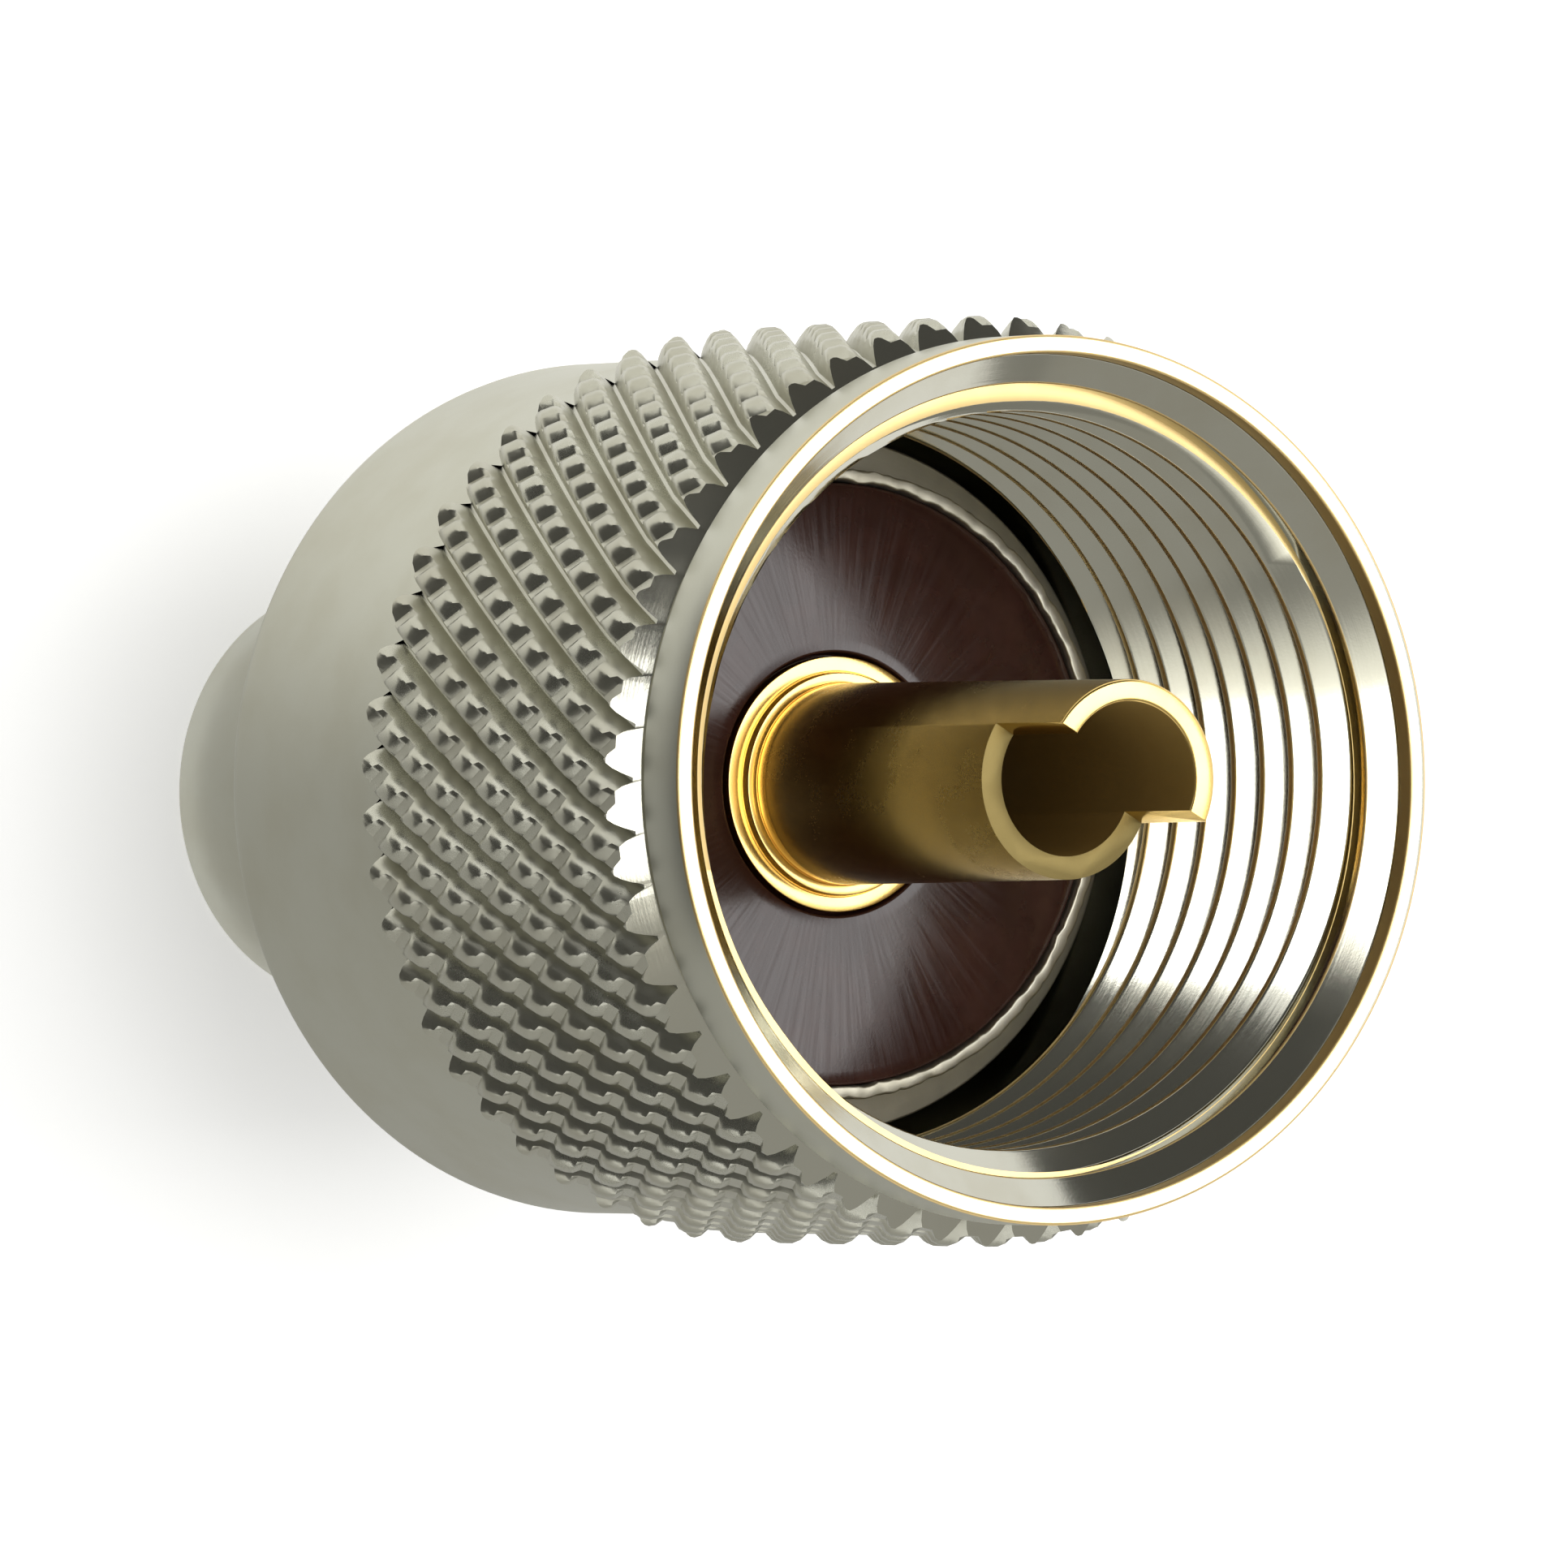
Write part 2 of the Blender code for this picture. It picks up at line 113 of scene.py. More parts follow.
class Term:
    """A number that varies over a surface. Arithmetic on it adds Math nodes."""

    def __init__(self, graph: "Graph", socket: Socket) -> None:
        """Wraps one output socket of the graph."""
        self.graph = graph
        self.socket = socket

    def math(self, operation: str, first: "Number", second: "Number | None" = None) -> "Term":
        """Adds one Math node.

        Args:
            operation: The Math node's operation.
            first: Its first value.
            second: Its second value, if it takes one.

        Returns:
            The node's result.
        """
        values: dict[int, Number] = {0: first}
        if second is not None:
            values[1] = second
        made = self.graph.node("ShaderNodeMath", {"operation": operation}, values)
        return Term(self.graph, made.outputs[0])

    def __add__(self, other: "Number") -> "Term":
        """The sum."""
        return self.math("ADD", self, other)

    def __sub__(self, other: "Number") -> "Term":
        """The difference."""
        return self.math("SUBTRACT", self, other)

    def __mul__(self, other: "Number") -> "Term":
        """The product."""
        return self.math("MULTIPLY", self, other)

    def __truediv__(self, other: "Number") -> "Term":
        """The quotient."""
        return self.math("DIVIDE", self, other)

    def __pow__(self, other: "Number") -> "Term":
        """The power."""
        return self.math("POWER", self, other)

    def maximum(self, other: "Number") -> "Term":
        """The larger of the two."""
        return self.math("MAXIMUM", self, other)

    def ramp(self, low: float, high: float, start: float = 0.0, end: float = 1.0) -> "Term":
        """Maps low..high to start..end with soft ends.

        Args:
            low: The value that becomes start.
            high: The value that becomes end.
            start: The result at and below low.
            end: The result at and above high.

        Returns:
            The mapped value.
        """
        made = self.graph.node(
            "ShaderNodeMapRange",
            {"interpolation_type": "SMOOTHSTEP"},
            {"Value": self, "From Min": low, "From Max": high, "To Min": start, "To Max": end},
        )
        return Term(self.graph, made.outputs[0])


Number = Term | float


class Graph:
    """A node tree that is written as expressions."""

    def __init__(self, tree: bpy.types.NodeTree) -> None:
        """Wraps a shader tree or a geometry tree."""
        self.tree = tree

    def node(self, kind: str, settings: Values | None = None, values: Values | None = None) -> Node:
        """Adds a node.

        Args:
            kind: The node's type.
            settings: What is set on the node itself, before its sockets.
            values: A constant, a Term, a socket or a node for each named or numbered input.

        Returns:
            The node.
        """
        made = self.tree.nodes.new(kind)
        for name, setting in (settings or {}).items():
            setattr(made, name, setting)
        for name, value in (values or {}).items():
            self.put(made.inputs[name], value)
        return made

    def put(self, socket: Socket, value: object) -> None:
        """Sets or links one input socket."""
        if isinstance(value, Term):
            value = value.socket
        if isinstance(value, Node):
            value = value.outputs[0]
        if isinstance(value, Socket):
            self.tree.links.new(value, socket)
        elif isinstance(value, tuple) and len(value) == 3 and socket.type == "RGBA":
            socket.default_value = (*value, 1.0)
        else:
            socket.default_value = value

    def position(self) -> Socket:
        """The point's place on the piece."""
        return self.node("ShaderNodeTexCoord").outputs["Object"]

    def split(self, vector: Socket) -> tuple[Term, Term, Term]:
        """The three parts of a vector."""
        parts = self.node("ShaderNodeSeparateXYZ", values={0: vector})
        return tuple(Term(self, output) for output in parts.outputs)

    def noise(self, place: Socket, size: float, detail: float = 2.0, rough: float = 0.5) -> Term:
        """Soft noise from 0 to 1.

        Args:
            place: Where it is read.
            size: The width of its blotches, in metres.
            detail: How many finer layers it has.
            rough: How strong the finer layers are.

        Returns:
            The noise.
        """
        values = {"Vector": place, "Scale": 1 / size, "Detail": detail, "Roughness": rough}
        return Term(self, self.node("ShaderNodeTexNoise", values=values).outputs[0])

    def blend(self, share: Number, first: object, second: object) -> Socket:
        """A colour between two others."""
        made = self.node("ShaderNodeMix", {"data_type": "RGBA"}, {0: share, 6: first, 7: second})
        return made.outputs[2]

    def streaks(self, across: Term, along: Term, detail: float = 2.0, rough: float = 0.5) -> Term:
        """Soft noise that is read at a pair of numbers."""
        place = self.node("ShaderNodeCombineXYZ", values={"X": across, "Y": along})
        return self.noise(place.outputs[0], 1.0, detail, rough)

    def bump(self, shader: Node, height: Term) -> None:
        """Gives a shader a relief, in metres."""
        bump = self.node("ShaderNodeBump", values={"Strength": 1.0, "Distance": 1.0, "Height": height})
        self.put(shader.inputs["Normal"], bump)


class Finish:
    """What every finish shares: a material with one Principled shader."""

    name: str

    def begin(self) -> tuple[Material, Graph, Node]:
        """Makes the material.

        Returns:
            The material, its graph and its Principled shader.
        """
        made = bpy.data.materials.new(self.name)
        made.use_nodes = True
        shader = made.node_tree.nodes["Principled BSDF"]
        return made, Graph(made.node_tree), shader

    def material(self) -> Material:
        """Builds the material."""
        raise NotImplementedError

    def shared(self) -> Material:
        """The finish's material, built when it is first asked for."""
        return bpy.data.materials.get(self.name) or self.material()


@dataclass(frozen=True)
class PlatedMetal(Finish):
    """A plated metal with a fine grain, faint turning marks and a little tarnish."""

    name: str
    colour: Colour
    tarnish: Colour
    roughness: float
    roughness_swing: float = 0.06
    tarnish_share: float = 0.5
    blotch_size: float = 2.2 * MM
    grain_size: float = 0.05 * MM
    grain_depth: float = 0.0012 * MM
    mark_spacing: float = 0.09 * MM
    mark_depth: float = 0.0
    dent_size: float = 0.9 * MM
    dent_depth: float = 0.0

    def material(self) -> Material:
        """Builds the material. Its turning marks run round the axis, as only radius and height count."""
        made, graph, shader = self.begin()
        place = graph.position()
        across, along, height = graph.split(place)
        radius = (across * across + along * along) ** 0.5
        blotch = graph.noise(place, self.blotch_size, 4.0, 0.55).ramp(0.35, 0.75)
        grain = graph.noise(place, self.grain_size, 3.0, 0.6)
        marks = graph.streaks(radius / self.mark_spacing, height / self.mark_spacing)
        dents = graph.noise(place, self.dent_size, 1.0, 0.4)
        graph.bump(shader, grain * self.grain_depth + marks * self.mark_depth + dents * self.dent_depth)
        colour = graph.blend(blotch * self.tarnish_share, self.colour, self.tarnish)
        graph.put(shader.inputs["Base Color"], colour)
        swing = (grain - 0.5) * self.roughness_swing + (blotch - 0.5) * self.roughness_swing
        graph.put(shader.inputs["Roughness"], swing + self.roughness)
        graph.put(shader.inputs["Metallic"], 1.0)
        return made


@dataclass(frozen=True)
class Phenolic(Finish):
    """A pressed brown resin, turned on its face: dark, slightly marbled and glossy."""

    name: str = "brown phenolic"
    colour: Colour = (0.026, 0.0085, 0.006)
    cloud: Colour = (0.04, 0.0145, 0.0105)
    cloud_size: float = 1.8 * MM
    roughness: float = 0.13
    roughness_swing: float = 0.14
    specular: float = 0.55
    mark_spacing: float = 0.12 * MM
    scratch_count: float = 46.0
    scratch_length: float = 3.0 * MM
    scratch_depth: float = 0.0006 * MM
    scratch_share: float = 0.35
    mark_share: float = 0.5
    speck_size: float = 0.06 * MM
    lean: tuple[float, float] = (0.061, -0.05)

    def material(self) -> Material:
        """Builds the material. The lean tilts the sheen, as the disc sits a little askew in the real plug."""
        made, graph, shader = self.begin()
        place = graph.position()
        across, along, height = graph.split(place)
        cloud = graph.noise(place, self.cloud_size, 4.0, 0.6).ramp(0.38, 0.7)
        graph.put(shader.inputs["Base Color"], graph.blend(cloud, self.colour, self.cloud))
        radius = (across * across + along * along) ** 0.5
        marks = graph.streaks(radius / self.mark_spacing, height / self.mark_spacing)
        angle = along.math("ARCTAN2", along, across)
        scratches = graph.streaks(angle * self.scratch_count, radius / self.scratch_length, 3.0, 0.65)
        speck = graph.noise(place, self.speck_size)
        relief = (marks * self.mark_share + scratches * self.scratch_share + speck) * self.scratch_depth
        graph.bump(shader, relief + across * self.lean[0] + along * self.lean[1])
        dull = scratches.ramp(0.3, 0.8, self.roughness, self.roughness + self.roughness_swing)
        graph.put(shader.inputs["Roughness"], dull)
        graph.put(shader.inputs["Specular IOR Level"], self.specular)
        return made


SATIN_NICKEL = PlatedMetal(
    "satin nickel", (0.585, 0.585, 0.505), (0.545, 0.53, 0.43), roughness=0.36, dent_depth=0.003 * MM
)
KNURL_NICKEL = PlatedMetal(
    "knurl nickel",
    (0.56, 0.555, 0.475),
    (0.44, 0.42, 0.33),
    roughness=0.3,
    grain_size=0.06 * MM,
    grain_depth=0.0013 * MM,
    dent_size=0.3 * MM,
    dent_depth=0.005 * MM,
)
BRIGHT_NICKEL = PlatedMetal(
    "bright nickel",
    (0.66, 0.65, 0.555),
    (0.56, 0.53, 0.42),
    roughness=0.12,
    roughness_swing=0.05,
    mark_depth=0.0006 * MM,
    grain_depth=0.0003 * MM,
)
# Painted reflection: this brass-gold tint on the nut's rounded edges and thread crests stands in for the gold
# glints seen along them.
WORN_BRASS = PlatedMetal(
    "painted gold edge glint", (0.8, 0.6, 0.28), (0.76, 0.56, 0.25), roughness=0.42, grain_depth=0.0004 * MM
)
GOLD_PLATE = PlatedMetal(
    "gold plate",
    (0.87, 0.62, 0.22),
    (0.70, 0.45, 0.13),
    roughness=0.2,
    roughness_swing=0.08,
    grain_size=0.06 * MM,
    grain_depth=0.0007 * MM,
    mark_depth=0.0007 * MM,
)
# Painted shade: a much darker gold for the pin's outer wall above the collar, standing in for the dark
# surroundings that the wall mirrors.
SHADED_TUBE_GOLD = PlatedMetal(
    "tube gold painted shade", (0.32, 0.215, 0.062), (0.24, 0.155, 0.042), roughness=0.27, roughness_swing=0.1
)
SAWN_GOLD = PlatedMetal(
    "sawn gold", (0.20, 0.155, 0.06), (0.16, 0.12, 0.045), roughness=0.5, grain_depth=0.002 * MM
)
# Painted shade: a darker gold for the pin's bore, standing in for the shade inside the hole.
SHADED_BORE = PlatedMetal("bore painted shade", (0.38, 0.26, 0.085), (0.29, 0.19, 0.06), roughness=0.62)
SPRING_WIRE = PlatedMetal("spring wire", (0.42, 0.42, 0.40), (0.30, 0.29, 0.26), roughness=0.35)
BODY_NICKEL = PlatedMetal(
    "body nickel",
    (0.52, 0.50, 0.42),
    (0.36, 0.33, 0.24),
    roughness=0.42,
    mark_depth=0.0015 * MM,
    dent_size=0.5 * MM,
    dent_depth=0.008 * MM,
)


def add(name: str, data: bpy.types.ID) -> Piece:
    """Adds an object to the scene."""
    made = bpy.data.objects.new(name, data)
    bpy.context.scene.collection.objects.link(made)
    return made


def tube(bore: float, radius: float, low: float, high: float) -> Profile:
    """The corners of a plain tube's wall."""
    return [(bore, low), (radius, low), (radius, high), (bore, high)]


def polar(radius: float, angle: float, height: float) -> Vector:
    """The point at a radius, an angle in radians and a height."""
    return Vector((radius * math.cos(angle), radius * math.sin(angle), height))


def rounded(
    profile: Sequence[Point], sizes: float | Sequence[float], steps: int = 3, closed: bool = True
) -> Profile:
    """Rounds the corners of a profile with arcs.

    Args:
        profile: Its (radius, height) corners, in order.
        sizes: The arc's radius at every corner, or one for each. It shrinks where a side is short.
        steps: The faces along each arc.
        closed: Whether the last corner joins the first.

    Returns:
        The rounded profile.
    """
    count = len(profile)
    radii = [sizes] * count if isinstance(sizes, float) else list(sizes)
    made: Profile = []
    for i, corner in enumerate(profile):
        here = Vector(corner)
        if radii[i] <= 0 or (not closed and i in (0, count - 1)):
            made.append(corner)
            continue
        before = Vector(profile[i - 1]) - here
        after = Vector(profile[(i + 1) % count]) - here
        opening = before.angle(after)
        if opening > STRAIGHT:
            made.append(corner)
            continue
        reach = min(radii[i] / math.tan(opening / 2), ARC_SHARE * before.length, ARC_SHARE * after.length)
        size = reach * math.tan(opening / 2)
        inward = (before.normalized() + after.normalized()).normalized()
        centre = here + inward * (size / math.sin(opening / 2))
        start = here + before.normalized() * reach - centre
        turn = math.pi - opening
        side = math.copysign(1.0, before.cross(after))
        for step in range(steps + 1):
            spoke = start.copy()
            spoke.rotate(Matrix.Rotation(-side * turn * step / steps, 2))
            made.append(tuple(centre + spoke))
    return made


def held(profile: Sequence[Point], reach: float) -> Profile:
    """Adds a point near both ends of every long side, which keeps the side's shading flat.

    Args:
        profile: Its (radius, height) points.
        reach: The new points' distance from the ends.

    Returns:
        The profile with the new points.
    """
    made: Profile = []
    for start, end in zip(profile, profile[1:]):
        made.append(start)
        side = Vector(end) - Vector(start)
        if side.length > 4 * reach:
            inset = side.normalized() * reach
            made += [tuple(Vector(start) + inset), tuple(Vector(end) - inset)]
    return [*made, profile[-1]]


class Shell:
    """A mesh that is built of rings round the plug's axis."""

    def __init__(self) -> None:
        """Starts an empty mesh."""
        self.mesh = bmesh.new()

    def ring(self, radius: float, height: float, count: int) -> Ring:
        """Adds a ring of points, from angle 0 up."""
        angles = [math.tau * column / count for column in range(count)]
        return [self.mesh.verts.new(polar(radius, angle, height)) for angle in angles]

    def wall(self, first: Ring, second: Ring, slot: int = 0) -> None:
        """Adds the faces between two rings of the same count."""
        count = len(first)
        for i in range(count):
            j = (i + 1) % count
            self.mesh.faces.new((first[i], first[j], second[j], second[i])).material_index = slot

    def zip(self, first: Ring, second: Ring, slot: int = 0) -> None:
        """Adds triangles between two rings of any counts, going round by angle.

        Args:
            first: One ring.
            second: The other ring.
            slot: The material's number.
        """
        def heading(point: MeshPoint) -> float:
            """The point's angle round the axis."""
            return math.atan2(point.co.y, point.co.x)

        rings = [sorted(each, key=heading) for each in (first, second)]
        angles = [[*map(heading, each), math.inf] for each in rings]
        at = [0, 0]
        while at[0] < len(rings[0]) or at[1] < len(rings[1]):
            step = 0 if angles[0][at[0]] <= angles[1][at[1]] else 1
            moving, still = rings[step], rings[1 - step]
            a = moving[at[step] - 1]
            b = moving[at[step]]
            c = still[at[1 - step] - 1]
            self.mesh.faces.new((a, b, c)).material_index = slot
            at[step] += 1

    def turn(
        self, profile: Sequence[Point], count: int, slots: Sequence[int] | None = None, closed: bool = True
    ) -> list[Ring]:
        """Turns a profile round the axis.

        Args:
            profile: Its (radius, height) points.
            count: The points round each ring.
            slots: The material of each side, from its first point on.
            closed: Whether the last point joins the first.

        Returns:
            The rings, one for each point.
        """
        rings = [self.ring(radius, height, count) for radius, height in profile]
        following = rings[1:] + rings[:1] if closed else rings[1:]
        for side, (first, second) in enumerate(zip(rings, following)):
            self.wall(first, second, slots[side] if slots else 0)
        return rings

    def piece(self, name: str, finishes: Sequence[Finish]) -> Piece:
        """Ends the mesh and makes the piece's object.

        Args:
            name: The object's name.
            finishes: Its finishes, by material number.

        Returns:
            The object, with its faces pointing out.
        """
        bmesh.ops.remove_doubles(self.mesh, verts=self.mesh.verts, dist=WELD_REACH)
        bmesh.ops.recalc_face_normals(self.mesh, faces=self.mesh.faces)
        mesh = bpy.data.meshes.new(name)
        self.mesh.to_mesh(mesh)
        self.mesh.free()
        for finish in finishes:
            mesh.materials.append(finish.shared())
        mesh.shade_smooth()
        mesh.set_sharp_from_angle(angle=SHARP_ANGLE)
        return add(name, mesh)


def evaluated(piece: Piece) -> Mesh:
    """What a piece's modifiers make of its mesh."""
    graph = bpy.context.evaluated_depsgraph_get()
    return bpy.data.meshes.new_from_object(piece.evaluated_get(graph), depsgraph=graph)


def place(piece: Piece, node: str, body: Body, slot: Slot) -> Piece:
    """Puts a finished piece in the place of its CAD node and reports it.

    Args:
        piece: The finished piece.
        node: The CAD node that it stands for.
        body: The body that it moves with.
        slot: The record's slot of its finish; not used.

    Returns:
        The piece.
    """
    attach(piece, body.value)
    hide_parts(node)
    triangles = sum(len(face.vertices) - 2 for face in piece.data.polygons)
    LOG.info("%s: %d triangles on %s", piece.name, triangles, body.value)
    return piece


class Repeater:
    """A Geometry Nodes tree that copies one strip along a line or round the axis, and welds the copies."""

    STRIP = "Geometry"
    COUNT = "Count"
    STEP = "Step"
    TURN = "Turn"
    WELD = "Weld"
    FINISH = "Material"

    def __init__(self, name: str) -> None:
        """Builds the tree, with its named inputs."""
        self.tree = bpy.data.node_groups.new(name, "GeometryNodeTree")
        inputs = {
            self.STRIP: "Geometry",
            self.COUNT: "Int",
            self.STEP: "Vector",
            self.TURN: "Vector",
            self.WELD: "Float",
            self.FINISH: "Material",
        }
        for label, kind in inputs.items():
            self.tree.interface.new_socket(label, in_out="INPUT", socket_type=f"NodeSocket{kind}")
        self.tree.interface.new_socket(self.STRIP, in_out="OUTPUT", socket_type="NodeSocketGeometry")
        self.wire()

    def wire(self) -> None:
        """Adds the nodes: points on a line, a turned copy on each, made real, welded and given the finish."""
        graph = Graph(self.tree)
        given = graph.node("NodeGroupInput").outputs
        values = {"Count": given[self.COUNT], "Offset": given[self.STEP]}
        line = graph.node("GeometryNodeMeshLine", {"mode": "OFFSET"}, values)
        values = {0: given[self.TURN], "Scale": graph.node("GeometryNodeInputIndex")}
        turned = graph.node("ShaderNodeVectorMath", {"operation": "SCALE"}, values)
        rotation = graph.node("FunctionNodeEulerToRotation", values={0: turned})
        values = {"Points": line, "Instance": given[self.STRIP], "Rotation": rotation}
        copies = graph.node("GeometryNodeInstanceOnPoints", values=values)
        plain = graph.node("GeometryNodeRealizeInstances", values={0: copies})
        values = {"Geometry": plain, "Distance": given[self.WELD]}
        welded = graph.node("GeometryNodeMergeByDistance", values=values)
        values = {"Geometry": welded, "Material": given[self.FINISH]}
        dressed = graph.node("GeometryNodeSetMaterial", values=values)
        graph.node("NodeGroupOutput", values={0: dressed})

    def run(self, strip: Mesh, count: int, step: Vector, turn: Vector, finish: Finish) -> Mesh:
        """Copies a strip.

        Args:
            strip: The mesh that is copied.
            count: How many copies.
            step: The offset from one copy to the next.
            turn: The rotation from one copy to the next.
            finish: The finish of the result.

        Returns:
            The copies as one plain mesh.
        """
        holder = add(strip.name, strip)
        modifier = holder.modifiers.new(self.tree.name, "NODES")
        modifier.node_group = self.tree
        values = {
            self.COUNT: count,
            self.STEP: tuple(step),
            self.TURN: tuple(turn),
            self.WELD: WELD_REACH,
            self.FINISH: finish.shared(),
        }
        for item in self.tree.interface.items_tree:
            if item.in_out == "INPUT" and item.name in values:
                modifier[item.identifier] = values[item.name]
        holder.update_tag()
        made = evaluated(holder)
        bpy.data.objects.remove(holder, do_unlink=True)
        return made


def strip_mesh(name: str, points: Rows) -> Mesh:
    """A plain mesh of quads over rows of points."""
    width = len(points[0])
    faces = [
        (row * width + i, row * width + i + 1, (row + 1) * width + i + 1, (row + 1) * width + i)
        for row in range(len(points) - 1)
        for i in range(width - 1)
    ]
    made = bpy.data.meshes.new(name)
    made.from_pydata([point for row in points for point in row], [], faces)
    return made


def trim(mesh: Mesh, front: float, rear: float) -> None:
    """Cuts a sleeve off at two heights."""
    cut = bmesh.new()
    cut.from_mesh(mesh)
    for height, side in ((front, 1), (rear, -1)):
        bmesh.ops.bisect_plane(
            cut,
            geom=cut.verts[:] + cut.edges[:] + cut.faces[:],
            dist=CUT_REACH,
            plane_co=(0, 0, height),
            plane_no=(0, 0, side),
            clear_outer=True,
        )
    cut.to_mesh(mesh)
    cut.free()


@dataclass
class CouplingNut:
    """The knurled nut: a turned shell with a diamond knurl outside and a 24 per inch thread inside."""

    base: float
    mouth: float
    tip_radius: float = 9.35 * MM
    segments: int = 208

    rim_radius: float = 8.9 * MM
    rim_width: float = 1.3 * MM
    edge_round: float = 0.06 * MM
    rim_round: float = 0.05 * MM
    step_round: float = 0.04 * MM
    arc_steps: int = 4
    groove_radius: float = 8.3 * MM
    groove_width: float = 0.2 * MM

    teeth: int = 52
    knurl_front: float = 2.06 * MM
    knurl_length: float = 9.34 * MM
    knurl_slope: float = 0.52
    slope_reach: float = 1.5 * MM
    knurl_depth: float = 0.52 * MM
    cross_depth: float = 0.2 * MM
    knurl_angle: float = math.radians(30)
    groove_flat: float = 0.08
    cross_flat: float = 0.24
    crest_flat: float = 0.24
    column_steps: int = 4
    row_steps: int = 2

    skirt_radius: float = 8.8 * MM
    skirt_round: float = 0.5 * MM

    mouth_radius: float = 8.53 * MM
    mouth_wall: float = 0.44 * MM
    sink_radius: float = 7.95 * MM
    sink_depth: float = 0.77 * MM
    mouth_depth: float = 1.2 * MM
    lead_radius: float = 7.6 * MM
    major_radius: float = 7.94 * MM
    minor_radius: float = 7.4 * MM
    flank: float = math.radians(30)
    first_crest: float = 1.58 * MM
    first_crest_angle: float = math.radians(90)
    pitch: float = 25.4 * MM / 24
    thread_length: float = 7.7 * MM
    thread_columns: int = 144
    spare_turns: int = 3
    crest_round: float = 0.06 * MM
    crest_reach: float = 0.02 * MM
    crest_tilt: float = 0.15
    flank_hold: float = 0.03 * MM
    root_width: float = 0.28 * MM

    relief_radius: float = 7.98 * MM
    step_height: float = 13.0 * MM
    rear_bore_radius: float = 5.7 * MM
    rear_bevel: float = 0.3 * MM
    relief_round: float = 0.1 * MM
    rear_arc_steps: int = 5
    ring_groove_radius: float = 6.9 * MM
    ring_groove_base: float = 10.4 * MM
    ring_groove_top: float = 12.0 * MM

    SATIN, KNURL, BRIGHT, BRASS = range(4)

    def build(self) -> Piece:
        """Builds and places the nut."""
        shell = Shell()
        knurl_front, knurl_rear = self.knurl(shell)
        thread_front, thread_rear = self.thread(shell)
        front = shell.turn(*self.front_profile(), closed=False)
        shell.zip(knurl_front, front[0], self.BRIGHT)
        shell.zip(front[-1], thread_front, self.BRASS)
        rear = shell.turn(*self.rear_profile(), closed=False)
        shell.zip(thread_rear, rear[0], self.BRIGHT)
        shell.zip(rear[-1], knurl_rear, self.KNURL)
        finishes = [SATIN_NICKEL, KNURL_NICKEL, BRIGHT_NICKEL, WORN_BRASS]
        return place(shell.piece("knurled_nut", finishes), "coupling_nut", Body.NUT, Slot.NUT)

    def front_profile(self) -> tuple[Profile, int, list[int]]:
        """The section from the foot of the knurl's front wall, round the rim, to the step before the thread.

        Returns:
            Its (radius, height) points, how many points each ring has, and the material of every side.
        """
        rim = self.mouth - self.rim_width
        # Painted reflection: the gold-tinted slot on these rounded edges stands in for gold glints seen along
        # them.
        satin, bright, glint = self.SATIN, self.BRIGHT, self.BRASS
        corners = [
            ((self.groove_radius, rim - self.groove_width), 0.0, bright, bright),
            ((self.groove_radius, rim), self.step_round, satin, satin),
            ((self.rim_radius, rim), self.rim_round, satin, satin),
            ((self.rim_radius, self.mouth), self.edge_round, glint, bright),
            ((self.mouth_radius, self.mouth), self.edge_round, glint, glint),
            ((self.mouth_radius, self.mouth - self.mouth_wall), self.step_round, bright, bright),
            ((self.sink_radius, self.mouth - self.sink_depth), self.edge_round, glint, bright),
            ((self.sink_radius, self.mouth - self.mouth_depth), 0.0, bright, bright),
        ]
        places, rounds, arcs, sides = zip(*corners)
        slots = [sides[0]]
        for arc, side in zip(arcs[1:-1], sides[1:-1]):
            slots += [arc] * self.arc_steps + [side]
        return rounded(places, rounds, self.arc_steps, closed=False), self.segments, slots

    def rear_profile(self) -> tuple[Profile, int, list[int]]:
        """The section from the end of the thread, through the ring groove and round the rear, to the knurl.

        Returns:
            Its (radius, height) points, how many points each ring has, and the material of every side.
        """
        thread_end = self.mouth - self.mouth_depth - self.thread_length
        knurl_end = self.mouth - self.knurl_front - self.knurl_length
        corners = [
            (self.relief_radius, thread_end),
            (self.relief_radius, self.step_height),
            (self.rear_bore_radius, self.step_height),
            (self.rear_bore_radius, self.ring_groove_top),
            (self.ring_groove_radius, self.ring_groove_top),
            (self.ring_groove_radius, self.ring_groove_base),
            (self.rear_bore_radius, self.ring_groove_base),
            (self.rear_bore_radius, self.base + self.rear_bevel),
            (self.rear_bore_radius + self.rear_bevel, self.base),
            (self.skirt_radius, self.base),
            (self.skirt_radius, knurl_end),
        ]
        rounds = [0.0, self.relief_round] + [self.step_round] * 7 + [self.skirt_round, 0.0]
        points = rounded(corners, rounds, self.rear_arc_steps, closed=False)
        outside = self.rear_bore_radius + self.rear_bevel + self.relief_round
        slots = []
        for radius, height in points:
            on_outside = radius > outside and height < self.ring_groove_base
            skirt = on_outside or radius > self.skirt_radius - self.skirt_round
            slots.append(self.SATIN if skirt else self.BRIGHT)
        return points, self.segments, slots

    def tooth_drop(self, across: float, cross: float) -> float:
        """How far the knurl lies below its tips: the deeper of two families of grooves.

        Args:
            across: The place between two deep grooves, from 0 to 1.
            cross: The same for the shallow family.

        Returns:
            The drop in metres.
        """
        grooves = ((across, self.knurl_depth, self.groove_flat), (cross, self.cross_depth, self.cross_flat))
        drops = []
        for share, depth, flat in grooves:
            from_crest = abs(2 * (share % 1.0) - 1)
            slope = min(1.0, max(0.0, (from_crest - self.crest_flat) / (1 - self.crest_flat - flat)))
            drops.append(depth * (1 - math.cos(slope * math.pi / 2)))
        return max(drops)

    def shares(self, flat: float, steps: int) -> list[float]:
        """Where one family's grid lines lie, from 0 to 1: on its corners and in steps up its flanks."""
        foot, crest = flat / 2, (1 - self.crest_flat) / 2
        half = [0.0, *(foot + (crest - foot) * step / steps for step in range(steps + 1))]
        return half + [1 - share for share in reversed(half[1:])]

